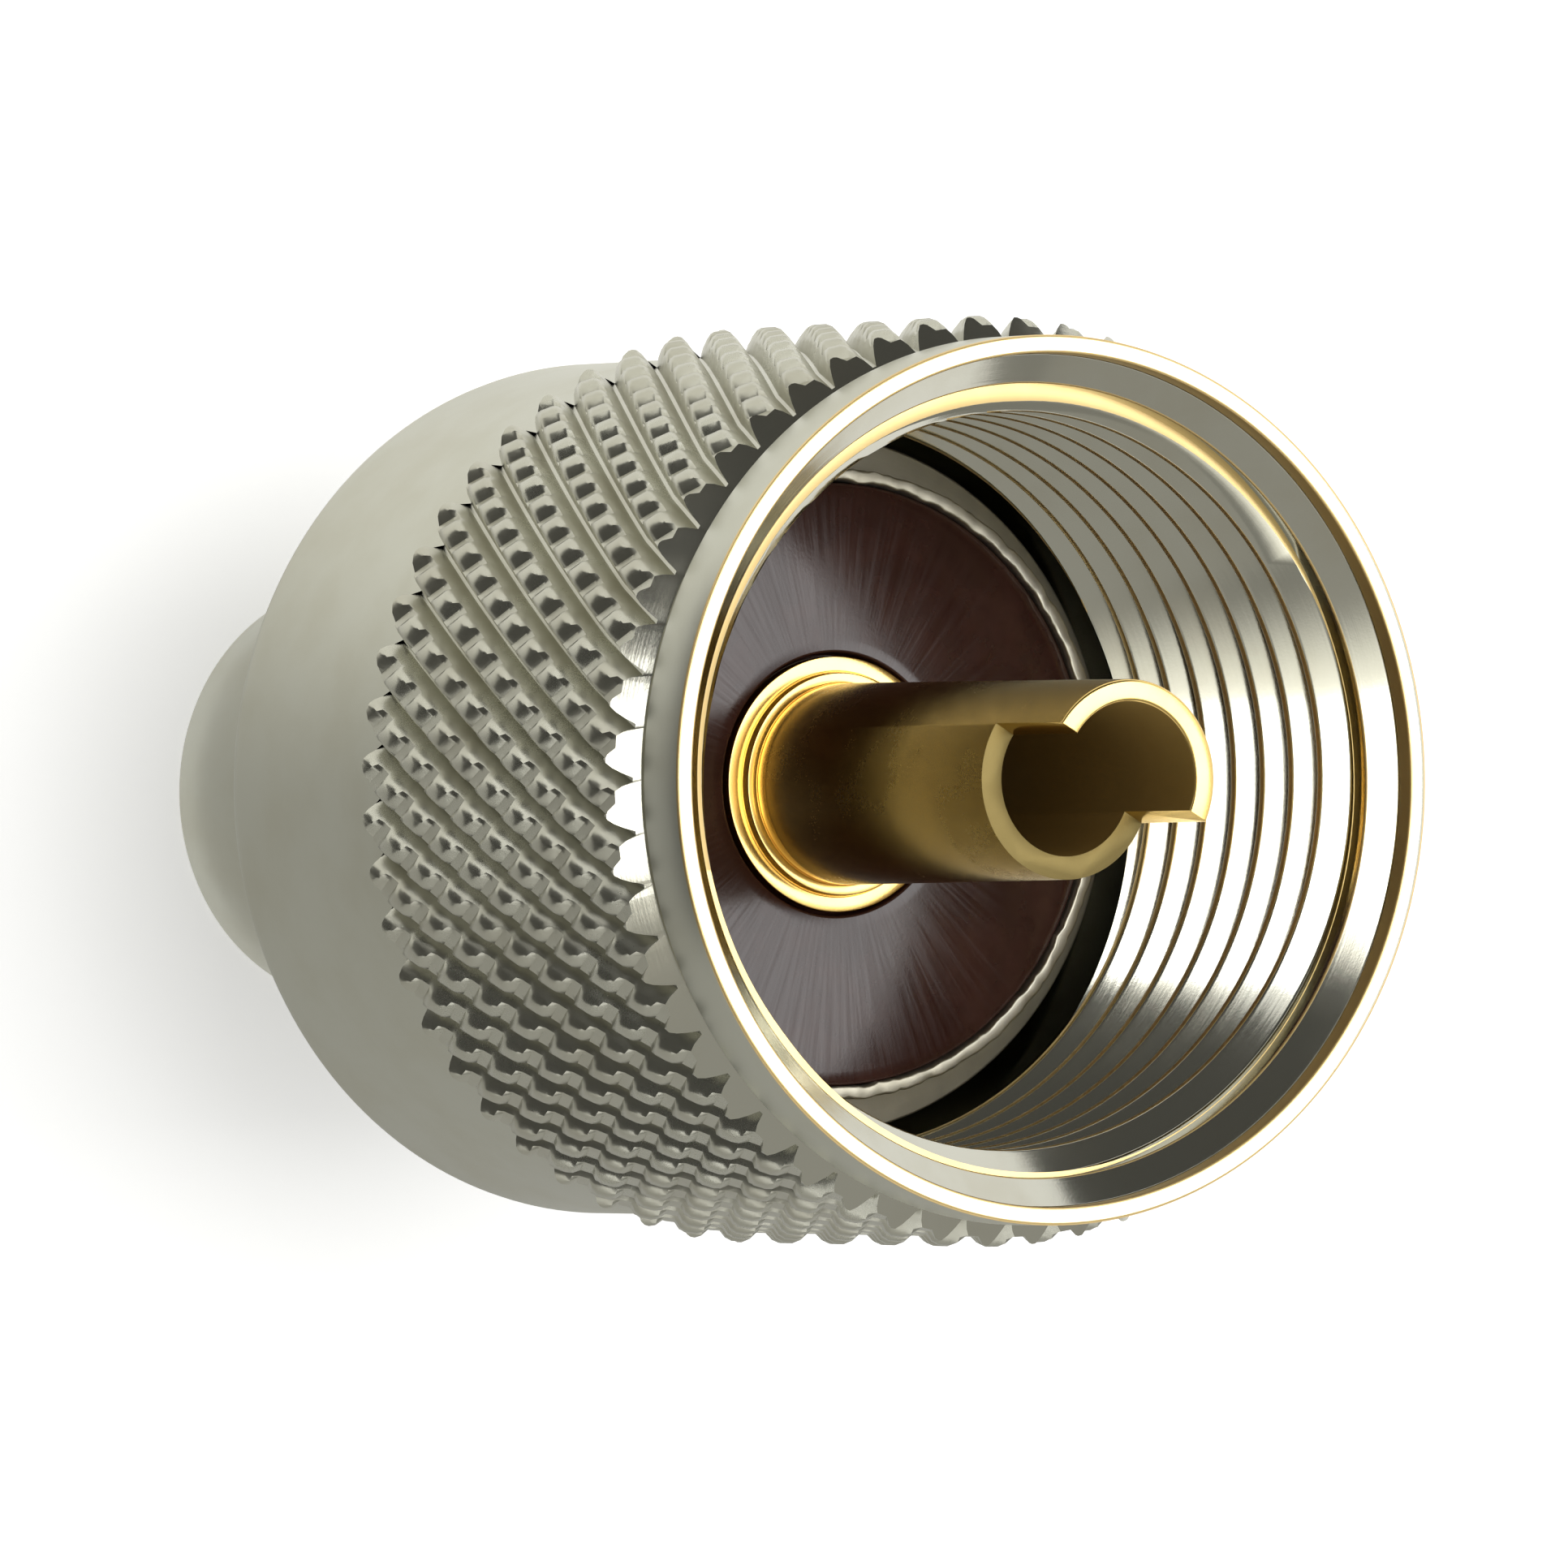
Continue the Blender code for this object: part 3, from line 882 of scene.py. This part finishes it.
    def knurl(self, shell: Shell) -> tuple[Ring, Ring]:
        """Adds the knurl: one helical ridge of teeth, copied round the axis and cut to length.

        The ridge's columns run along the deep grooves and its rows along the shallow ones.

        Args:
            shell: The nut's mesh.

        Returns:
            The knurl's front ring and rear ring.
        """
        front = self.mouth - self.knurl_front
        rear = front - self.knurl_length
        twist = math.tan(self.knurl_angle) / self.tip_radius
        tooth = math.tau / self.teeth
        first = math.floor(2 * twist * rear / tooth)
        last = math.ceil(2 * twist * front / tooth) + 1
        columns = [*self.shares(self.groove_flat, self.column_steps), 1.0]
        steps = self.shares(self.cross_flat, self.row_steps)
        rows = [first + cell + share for cell in range(last - first) for share in steps] + [float(last)]
        points = []
        for cross in rows:
            row = []
            for across in columns:
                angle = tooth * (across + cross) / 2
                height = tooth * (cross - across) / (2 * twist)
                row.append(polar(self.tip_radius - self.tooth_drop(across, cross), angle, height))
            points.append(row)
        strip = strip_mesh("knurl_ridge", points)
        turn = Vector((0, 0, tooth))
        sleeve = Repeater("knurl_round_axis").run(strip, self.teeth, Vector(), turn, KNURL_NICKEL)
        trim(sleeve, front, rear)
        ends = self.adopt(shell, sleeve, lambda face: self.KNURL, front, rear)
        for point in shell.mesh.verts:
            near = max(0.0, 1 - (front - point.co.z) / self.slope_reach)
            point.co.z += self.knurl_slope * (self.tip_radius - point.co.xy.length) * near
        return ends

    def crest_half(self) -> float:
        """Half the crest's width: what the flanks and the root leave of a pitch."""
        flank = (self.major_radius - self.minor_radius) * math.tan(self.flank)
        return self.pitch / 2 - self.root_width / 2 - flank

    def thread_profile(self) -> Profile:
        """One pitch of the thread, from the middle of a crest to the middle of the next.

        Returns:
            Its (radius, height) points, upwards.
        """
        root = self.root_width / 2
        crest = self.crest_half()
        corners = [
            (self.minor_radius, 0.0),
            (self.minor_radius, crest),
            (self.major_radius, self.pitch / 2 - root),
            (self.major_radius, self.pitch / 2 + root),
            (self.minor_radius, self.pitch - crest),
            (self.minor_radius, self.pitch),
        ]
        return held(rounded(corners, self.crest_round, closed=False), self.flank_hold)

    def thread(self, shell: Shell) -> tuple[Ring, Ring]:
        """Adds the thread: one turn of its profile, copied up the axis and cut to length.

        Args:
            shell: The nut's mesh.

        Returns:
            The thread's front ring and rear ring.
        """
        front = self.mouth - self.mouth_depth
        rear = front - self.thread_length
        profile = self.thread_profile()
        rows = []
        for column in range(self.thread_columns + 1):
            share = column / self.thread_columns
            lift = self.pitch * share
            rows.append([polar(radius, math.tau * share, height + lift) for radius, height in profile])
        turns = math.ceil(self.thread_length / self.pitch) + self.spare_turns
        strip = strip_mesh("thread_turn", rows)
        first_lift = self.pitch * self.first_crest_angle / math.tau
        crest = self.mouth - self.first_crest - self.crest_half() - first_lift
        below = turns - self.spare_turns + 1
        strip.transform(Matrix.Translation((0, 0, crest - below * self.pitch)))
        step = Vector((0, 0, self.pitch))
        helix = Repeater("thread_up_axis").run(strip, turns, step, Vector(), BRIGHT_NICKEL)
        trim(helix, front, rear)
        for point in helix.vertices:
            self.lead_in(point, front)
        return self.adopt(shell, helix, self.thread_slot, front, rear)

    def thread_slot(self, face: MeshFace) -> int:
        """Painted gold glint on each crest and its edge towards the mouth, which stands in for the gold
        reflected there; nickel elsewhere.
        """
        near_crest = face.calc_center_median().xy.length < self.minor_radius + self.crest_reach
        return self.BRASS if near_crest and face.normal.z > -self.crest_tilt else self.BRIGHT

    def lead_in(self, point: bpy.types.MeshVertex, front: float) -> None:
        """Opens the thread's first crest to a cone."""
        cone = self.lead_radius - (front - point.co.z) / math.tan(self.flank)
        radius = point.co.xy.length
        if radius < cone:
            scale = cone / radius
            point.co.x *= scale
            point.co.y *= scale

    def adopt(
        self, shell: Shell, mesh: Mesh, slot: Callable[[MeshFace], int], front: float, rear: float
    ) -> tuple[Ring, Ring]:
        """Adds a sleeve to the nut's mesh.

        Args:
            shell: The nut's mesh.
            mesh: The sleeve, open at both ends.
            slot: The material's number for each face.
            front: The height of its front end.
            rear: The height of its rear end.

        Returns:
            The points along its front edge and its rear edge.
        """
        known = len(shell.mesh.faces)
        shell.mesh.from_mesh(mesh)
        shell.mesh.faces.ensure_lookup_table()
        shell.mesh.normal_update()
        for face in shell.mesh.faces[known:]:
            face.material_index = slot(face)
        edge = {point for side in shell.mesh.edges if side.is_boundary for point in side.verts}
        reach = 4 * WELD_REACH
        ends = ([point for point in edge if abs(point.co.z - height) < reach] for height in (front, rear))
        return tuple(ends)


@dataclass
class ConnectorBody:
    """The turned body: the cup and flange in the nut, the neck, and the stem inside the ferrule."""

    cup_top: float
    flange_radius: float
    segments: int = 320

    flange_top: float = 18.0 * MM
    flange_base: float = 15.3 * MM
    cup_radius: float = 6.42 * MM
    cup_bore_radius: float = 6.16 * MM
    seat: float = 16.25 * MM
    cavity_radius: float = 3.7 * MM
    cavity_base: float = 12.25 * MM
    neck_radius: float = 4.7 * MM
    shoulder_radius: float = 5.4 * MM
    shoulder_base: float = 9.4 * MM
    shoulder_top: float = 10.4 * MM
    spigot_radius: float = 3.55 * MM
    spigot_base: float = 6.9 * MM
    stem_radius: float = 2.7 * MM
    stem_bore_radius: float = 2.1 * MM
    stem_base: float = 0.8 * MM
    barb_count: int = 5
    barb_pitch: float = 0.9 * MM
    barb_lead: float = 0.45 * MM
    barb_slope: float = 0.72 * MM
    barb_depth: float = 0.18 * MM
    edge_round: float = 0.05 * MM
    lip_depth: float = 0.4 * MM
    burr: float = 0.05 * MM
    burr_waves: tuple[float, float] = (60.0, 130.0)
    burr_share: float = 0.6

    def profile(self) -> Profile:
        """The body's closed section."""
        barbs: Profile = []
        for barb in range(self.barb_count):
            foot = self.stem_base + self.barb_lead + self.barb_pitch * barb
            barbs.append((self.stem_radius - self.barb_depth, foot))
            barbs.append((self.stem_radius, foot + self.barb_slope))
        return [
            (self.stem_bore_radius, self.stem_base),
            (self.stem_radius - self.barb_depth, self.stem_base),
            *barbs,
            (self.stem_radius, self.spigot_base),
            (self.spigot_radius, self.spigot_base),
            (self.spigot_radius, self.shoulder_base),
            (self.shoulder_radius, self.shoulder_base),
            (self.shoulder_radius, self.shoulder_top),
            (self.neck_radius, self.shoulder_top),
            (self.neck_radius, self.flange_base),
            (self.flange_radius, self.flange_base),
            (self.flange_radius, self.flange_top),
            (self.cup_radius, self.flange_top),
            (self.cup_radius, self.cup_top),
            (self.cup_bore_radius, self.cup_top),
            (self.cup_bore_radius, self.seat),
            (self.cavity_radius, self.seat),
            (self.cavity_radius, self.cavity_base),
            (self.stem_bore_radius, self.cavity_base),
        ]

    def build(self) -> Piece:
        """Builds and places the body."""
        shell = Shell()
        shell.turn(rounded(self.profile(), self.edge_round), self.segments)
        for point in shell.mesh.verts:
            self.roughen(point)
        return place(shell.piece("turned_body", [BODY_NICKEL]), "connector_body", Body.PLUG, Slot.BODY)

    def roughen(self, point: MeshPoint) -> None:
        """Rolls the cup's lip in a little unevenly, as it is when it is staked over the insulator."""
        share = 1 - (self.cup_top - point.co.z) / self.lip_depth
        radius = point.co.xy.length
        inside, outside = self.cup_bore_radius - self.edge_round, self.cup_radius + self.edge_round
        if share < 0 or not inside <= radius <= outside:
            return
        coarse, fine = (noise.noise(point.co.normalized() * wave) for wave in self.burr_waves)
        wave = coarse + self.burr_share * fine
        scale = 1 + self.burr * wave * share / radius
        point.co.x *= scale
        point.co.y *= scale
        point.co.z -= self.burr * share * abs(wave) / 2


@dataclass
class RetainingRing:
    """The split ring in the nut's groove."""

    base: float
    top: float
    radius: float = 6.6 * MM
    bore_radius: float = 5.0 * MM
    edge_round: float = 0.12 * MM
    split: float = math.radians(26)
    segments: int = 150

    def build(self) -> Piece:
        """Builds and places the ring."""
        section = rounded(tube(self.bore_radius, self.radius, self.base, self.top), self.edge_round)
        shell = Shell()
        sweep = math.tau - self.split
        rows = []
        for step in range(self.segments + 1):
            angle = sweep * step / self.segments
            rows.append([shell.mesh.verts.new(polar(radius, angle, height)) for radius, height in section])
        for first, second in zip(rows, rows[1:]):
            shell.wall(first, second)
        shell.mesh.faces.new(rows[0])
        shell.mesh.faces.new(rows[-1])
        return place(shell.piece("split_ring", [SPRING_WIRE]), "retaining_ring", Body.RING, Slot.WIRE)


@dataclass
class Insulator:
    """The brown disc in the cup, with its boss and the pin's hole."""

    top: float
    radius: float = 6.13 * MM
    disc_base: float = 16.55 * MM
    boss_base: float = 12.55 * MM
    boss_radius: float = 3.4 * MM
    hole_radius: float = 2.28 * MM
    seat_radius: float = 2.68 * MM
    seat_depth: float = 0.5 * MM
    dome: float = 0.05 * MM
    dome_reach: float = 0.2 * MM
    face_steps: int = 12
    edge_round: float = 0.06 * MM
    segments: int = 144

    def build(self) -> Piece:
        """Builds and places the insulator."""
        width = self.seat_radius - self.radius
        steps = self.face_steps
        corners = [
            (self.hole_radius, self.boss_base),
            (self.boss_radius, self.boss_base),
            (self.boss_radius, self.disc_base),
            (self.radius, self.disc_base),
            (self.radius, self.top),
            *((self.radius + width * step / steps, self.top) for step in range(1, steps)),
            (self.seat_radius, self.top),
            (self.seat_radius, self.top - self.seat_depth),
            (self.hole_radius, self.top - self.seat_depth),
        ]
        section = rounded(corners, self.edge_round)
        shell = Shell()
        shell.turn([(radius, height - self.sag(radius, height)) for radius, height in section], self.segments)
        return place(shell.piece("phenolic_disc", [Phenolic()]), "insulator", Body.PLUG, Slot.INSULATOR)

    def sag(self, radius: float, height: float) -> float:
        """How far the slightly domed face lies below its middle."""
        return self.dome * (radius / self.radius) ** 2 if height > self.top - self.dome_reach else 0.0


@dataclass
class CentrePin:
    """The gold pin: a collar with a raised ring, a slightly tapered root and a tube cut back at its tip."""

    face: float
    base: float
    top: float
    radius: float = 1.98 * MM
    bore_radius: float = 1.53 * MM
    collar_radius: float = 2.6 * MM
    collar_depth: float = 0.3 * MM
    collar_height: float = 0.05 * MM
    ring_radius: float = 2.28 * MM
    ring_step: float = 0.25 * MM
    ring_round: float = 0.02 * MM
    ring_foot: float = 0.03 * MM
    root_radius: float = 2.05 * MM
    root_length: float = 1.6 * MM
    root_straight: float = 0.3 * MM
    bright_length: float = 0.75 * MM
    scoop_length: float = 2.4 * MM
    scoop_heading: float = math.radians(149)
    scoop_offset: float = 0.15 * MM
    edge_round: float = 0.07 * MM
    tip_round: float = 0.04 * MM
    tip_angle: float = math.radians(50)
    arc_steps: int = 2
    bore_reach: float = 0.01 * MM
    tube_reach: float = 0.02 * MM
    sawn_reach: float = 0.06 * MM
    upright_tilt: float = 0.3
    level_tilt: float = 0.2
    segments: int = 128

    GOLD, SAWN, BORE, TUBE = range(4)

    def profile(self) -> Profile:
        """The pin's closed section."""
        collar = self.face + self.collar_height
        ring = self.face + self.ring_step
        corners = [
            (self.bore_radius, self.base),
            (self.radius, self.base),
            (self.radius, self.face - self.collar_depth),
            (self.collar_radius, self.face - self.collar_depth),
            (self.collar_radius, collar),
            (self.ring_radius + self.ring_foot, collar),
            (self.ring_radius, collar - self.ring_foot),
            (self.ring_radius - self.ring_round, ring),
            (self.root_radius + self.ring_round, ring),
            (self.root_radius, ring - self.ring_foot),
            (self.root_radius, ring + self.root_straight),
        ]
        made = rounded(corners, self.ring_round, self.arc_steps, closed=False)
        taper_top = ring + self.root_length
        tip = [(self.radius, taper_top), (self.radius, self.top), (self.bore_radius, self.top), made[0]]
        return made + rounded(tip, self.edge_round, closed=False)[1:-1]

    def scoop(self) -> Piece:
        """The block that cuts back the tip.

        Returns:
            The cutter, hidden from the render.
        """
        size = Vector((3 * self.radius, 4 * self.radius, 2 * self.scoop_length))
        low = self.top - self.scoop_length
        shape = bmesh.new()
        bmesh.ops.create_cube(shape, size=1.0)
        bmesh.ops.scale(shape, vec=size, verts=shape.verts)
        away = Vector((self.scoop_offset - size.x / 2, 0, low + size.z / 2))
        bmesh.ops.translate(shape, vec=away, verts=shape.verts)
        turned = Matrix.Rotation(self.scoop_heading, 3, "Z")
        bmesh.ops.rotate(shape, cent=(0, 0, 0), matrix=turned, verts=shape.verts)
        mesh = bpy.data.meshes.new("scoop_cutter")
        shape.to_mesh(mesh)
        shape.free()
        cutter = add("scoop_cutter", mesh)
        cutter.hide_render = True
        return cutter

    def build(self) -> Piece:
        """Builds and places the pin."""
        shell = Shell()
        shell.turn(self.profile(), self.segments)
        pin = shell.piece("gold_pin", [GOLD_PLATE, SAWN_GOLD, SHADED_BORE, SHADED_TUBE_GOLD])
        cutter = self.scoop()
        cut = pin.modifiers.new("scoop", "BOOLEAN")
        cut.operation = "DIFFERENCE"
        cut.solver = "EXACT"
        cut.object = cutter
        soften = pin.modifiers.new("soften", "BEVEL")
        soften.width = self.tip_round
        soften.segments = self.arc_steps
        soften.limit_method = "ANGLE"
        soften.angle_limit = self.tip_angle
        mesh = evaluated(pin)
        pin.modifiers.clear()
        pin.data = mesh
        bpy.data.objects.remove(cutter, do_unlink=True)
        self.dress(mesh)
        mesh.shade_smooth()
        mesh.set_sharp_from_angle(angle=SHARP_ANGLE)
        return place(pin, "center_pin", Body.PLUG, Slot.PIN)

    def dress(self, mesh: Mesh) -> None:
        """Gives the bore, the sawn step and the tube their own finishes. The bore and the tube above a plain
        band by the collar get a darker gold, which is painted shade.
        """
        step = self.top - self.scoop_length
        # The tube's wall is painted darker from this height up; below it, next to the collar, it keeps the
        # plain gold.
        dull = self.face + self.ring_step + self.bright_length
        for face in mesh.polygons:
            radius = face.center.xy.length
            upright = abs(face.normal.z) < self.upright_tilt
            if radius < self.bore_radius + self.bore_reach and upright:
                face.material_index = self.BORE
            elif abs(face.center.z - step) < self.sawn_reach and face.normal.z > self.level_tilt:
                face.material_index = self.SAWN
            elif radius > self.radius - self.tube_reach and upright and face.center.z > dull:
                face.material_index = self.TUBE


@dataclass
class CrimpFerrule:
    """The plain tube over the stem."""

    length: float
    radius: float
    wall: float = 0.6 * MM
    edge_round: float = 0.15 * MM
    arc_steps: int = 4
    segments: int = 160

    def build(self) -> Piece:
        """Builds and places the ferrule."""
        corners = tube(self.radius - self.wall, self.radius, 0.0, self.length)
        shell = Shell()
        shell.turn(rounded(corners, self.edge_round, self.arc_steps), self.segments)
        return place(shell.piece("ferrule_tube", [SATIN_NICKEL]), "crimp_ferrule", Body.PLUG, Slot.FERRULE)


@dataclass
class Studio:
    """A pale floor, one large overhead softbox, a soft world and the cards that the metal reflects."""

    mouth: float
    lens: float = 447.2
    sensor: float = 36.0
    clip: tuple[float, float] = (0.01, 50.0)
    distance: float = 389.0 * MM
    aim_right: float = 5.44 * MM
    aim_down: float = -0.08 * MM
    axis_right: float = 0.531
    axis_up: float = 0.010
    floor_size: float = 3.0
    floor_tone: Colour = (0.9, 0.9, 0.89)
    floor_glow: float = 0.35
    world_tone: Colour = (0.5, 0.5, 0.49)
    card_colour: Colour = (1.0, 0.99, 0.93)
    card_columns: int = 32
    softbox_power: float = 0.67
    softbox_size: tuple[float, float] = (0.20, 0.37)
    softbox_place: tuple[float, float, float] = (-0.04, 0.03, 0.27)
    card_radius: float = 40 * MM
    card_heights: tuple[float, float, float] = (20 * MM, 38 * MM, 89 * MM)
    low_card_radius: float = 30 * MM
    low_card_heights: tuple[float, float] = (0.5 * MM, 23 * MM)
    dark_span: tuple[float, float] = (140, 246)
    grey_span: tuple[float, float] = (246, 400)
    side_span: tuple[float, float] = (246, 320)
    low_span: tuple[float, float] = (230, 300)
    dark_tone: float = 0.08
    side_tone: float = 0.07
    grey_tone: float = 0.36
    floor_card_height: float = 0.1 * MM
    floor_card_radii: tuple[float, float] = (4.8 * MM, 70 * MM)
    floor_card_span: tuple[float, float] = (-15 * MM, 1 * MM)
    floor_card_tones: tuple[float, float] = (0.98, 0.45)
    sky_height: float = 0.3
    sky_edges: tuple[float, float] = (0.06, 0.8)
    sky_half_width: float = 0.6
    sky_span: tuple[float, float] = (0.06, 0.165)
    sky_tones: tuple[float, float] = (1.5, 0.27)

    def build(self) -> None:
        """Sets up the whole studio."""
        self.world()
        self.floor()
        self.lamp()
        self.cards()
        self.camera()
        bpy.context.scene.view_settings.view_transform = "Standard"

    def camera(self) -> None:
        """Places the camera so that it looks into the mouth, with the plug's axis pointing right."""
        lean = math.hypot(self.axis_right, self.axis_up)
        depth = math.sqrt(1 - lean**2)
        back = Vector((0, -lean, depth))
        along, upward = Vector((0, depth, lean)), Vector((-1, 0, 0))
        roll = math.atan2(self.axis_up, self.axis_right)
        right = along * math.cos(roll) - upward * math.sin(roll)
        up = along * math.sin(roll) + upward * math.cos(roll)
        target = Vector((0, 0, self.mouth))
        spot = target - right * self.aim_right + up * self.aim_down + back * self.distance
        data = bpy.data.cameras.new("camera")
        data.lens = self.lens
        data.sensor_width = self.sensor
        data.clip_start, data.clip_end = self.clip
        made = add("camera", data)
        turned = Matrix((right, up, back)).transposed().to_4x4()
        made.matrix_world = Matrix.Translation(spot) @ turned
        bpy.context.scene.camera = made

    def world(self) -> None:
        """A soft even world, which is white where the camera or a reflection sees it."""
        made = bpy.data.worlds.new("studio")
        made.use_nodes = True
        made.node_tree.nodes.clear()
        graph = Graph(made.node_tree)
        seen = self.seen(graph)
        tone = graph.blend(seen, self.world_tone, (1.0, 1.0, 1.0))
        light = graph.node("ShaderNodeBackground", values={"Color": tone, "Strength": 1.0})
        graph.node("ShaderNodeOutputWorld", values={"Surface": light})
        bpy.context.scene.world = made

    def seen(self, graph: Graph) -> Term:
        """1 for rays from the camera, or from a reflection or a transmission, and 0 for the rest."""
        path = graph.node("ShaderNodeLightPath").outputs
        kinds = ("Camera", "Glossy", "Transmission")
        camera, glossy, through = (Term(graph, path[f"Is {kind} Ray"]) for kind in kinds)
        return camera.maximum(glossy).maximum(through)

    def floor(self) -> None:
        """A pale floor, a little brighter where it is seen, so that it is white apart from the shadow."""
        half = self.floor_size / 2
        _, graph = self.prop("floor", [[Vector((x, y, 0)) for x in (-half, half)] for y in (-half, half)])
        paint = graph.node("ShaderNodeBsdfDiffuse", values={"Color": self.floor_tone})
        glow = graph.node("ShaderNodeEmission", values={"Strength": self.seen(graph) * self.floor_glow})
        both = graph.node("ShaderNodeAddShader", values={0: paint, 1: glow})
        graph.node("ShaderNodeOutputMaterial", values={"Surface": both})

    def lamp(self) -> None:
        """The softbox, flat above the plug."""
        data = bpy.data.lights.new("softbox", "AREA")
        data.shape = "RECTANGLE"
        data.size, data.size_y = self.softbox_size
        data.energy = self.softbox_power
        add("softbox", data).location = self.softbox_place

    def cards(self) -> None:
        """Grey cards round and over the plug, which only its reflections see."""
        low, step, top = self.card_heights
        self.card("dark_card", self.dark_span, self.card_radius, (step, top), self.dark_tone)
        self.card("grey_card", self.grey_span, self.card_radius, (step, top), self.grey_tone)
        self.card("side_card", self.side_span, self.card_radius, (low, step), self.side_tone)
        self.card("low_card", self.low_span, self.low_card_radius, self.low_card_heights, self.side_tone)
        # The floor card glows less towards +X: painted shade of the floor round the plug, which only
        # reflections see.
        columns = 2 * self.card_columns
        angles = [math.tau * column / columns for column in range(columns + 1)]
        height = self.floor_card_height
        rows = [[polar(radius, angle, height) for radius in self.floor_card_radii] for angle in angles]
        self.graded("floor_card", rows, self.floor_card_span, self.floor_card_tones)
        sides = (-self.sky_half_width, self.sky_half_width)
        rows = [[Vector((x, y, self.sky_height)) for y in sides] for x in self.sky_edges]
        self.graded("sky_card", rows, self.sky_span, self.sky_tones)

    def card(self, name: str, span: Point, radius: float, heights: Point, tone: float) -> None:
        """Adds one curved card.

        Args:
            name: The card's name.
            span: Its first and last angle round the plug, in degrees.
            radius: Its distance from the axis.
            heights: Its lower and upper edge.
            tone: Its brightness, where 1 is white.
        """
        first, last = map(math.radians, span)
        columns = self.card_columns
        angles = [first + (last - first) * column / columns for column in range(columns + 1)]
        rows = [[polar(radius, angle, height) for height in heights] for angle in angles]
        _, glow = self.glowing(name, rows)
        glow.inputs["Strength"].default_value = tone

    def graded(self, name: str, rows: Rows, span: Point, tones: Point) -> None:
        """Adds one flat card whose tone changes along X.

        Args:
            name: The card's name.
            rows: Its points.
            span: Where the change starts and ends.
            tones: The brightness there.
        """
        graph, glow = self.glowing(name, rows)
        across, _, _ = graph.split(graph.position())
        graph.put(glow.inputs["Strength"], across.ramp(*span, *tones))

    def glowing(self, name: str, rows: Rows) -> tuple[Graph, Node]:
        """Makes a glowing card that only reflections see.

        Args:
            name: The card's name.
            rows: Its points.

        Returns:
            Its material's graph and emission node.
        """
        made, graph = self.prop(name, rows)
        glow = graph.node("ShaderNodeEmission", values={"Color": self.card_colour})
        graph.node("ShaderNodeOutputMaterial", values={"Surface": glow})
        for ray in ("camera", "diffuse", "shadow", "transmission", "volume_scatter"):
            setattr(made, f"visible_{ray}", False)
        return graph, glow

    def prop(self, name: str, rows: Rows) -> tuple[Piece, Graph]:
        """Adds a sheet to the stage, with an empty material.

        Args:
            name: The sheet's name, and its material's.
            rows: Its points.

        Returns:
            The sheet and its material's graph.
        """
        mesh = strip_mesh(name, rows)
        made = add(name, mesh)
        material = bpy.data.materials.new(name)
        material.use_nodes = True
        material.node_tree.nodes.clear()
        mesh.materials.append(material)
        return made, Graph(material.node_tree)


def main() -> None:
    """Builds the plug's pieces and the studio."""
    logging.basicConfig(level=logging.INFO, format="%(name)s %(message)s")
    nut_low, nut_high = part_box("coupling_nut")
    _, body_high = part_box("connector_body")
    ring_low, ring_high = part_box("retaining_ring")
    _, disc_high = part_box("insulator")
    pin_low, pin_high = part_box("center_pin")
    _, ferrule_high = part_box("crimp_ferrule")
    Studio(mouth=nut_high.z).build()
    CouplingNut(base=nut_low.z, mouth=nut_high.z).build()
    ConnectorBody(cup_top=body_high.z, flange_radius=body_high.x).build()
    RetainingRing(base=ring_low.z, top=ring_high.z).build()
    Insulator(top=disc_high.z).build()
    CentrePin(face=disc_high.z, base=pin_low.z, top=pin_high.z).build()
    CrimpFerrule(length=ferrule_high.z, radius=ferrule_high.x).build()


if __name__ == "__main__":
    main()
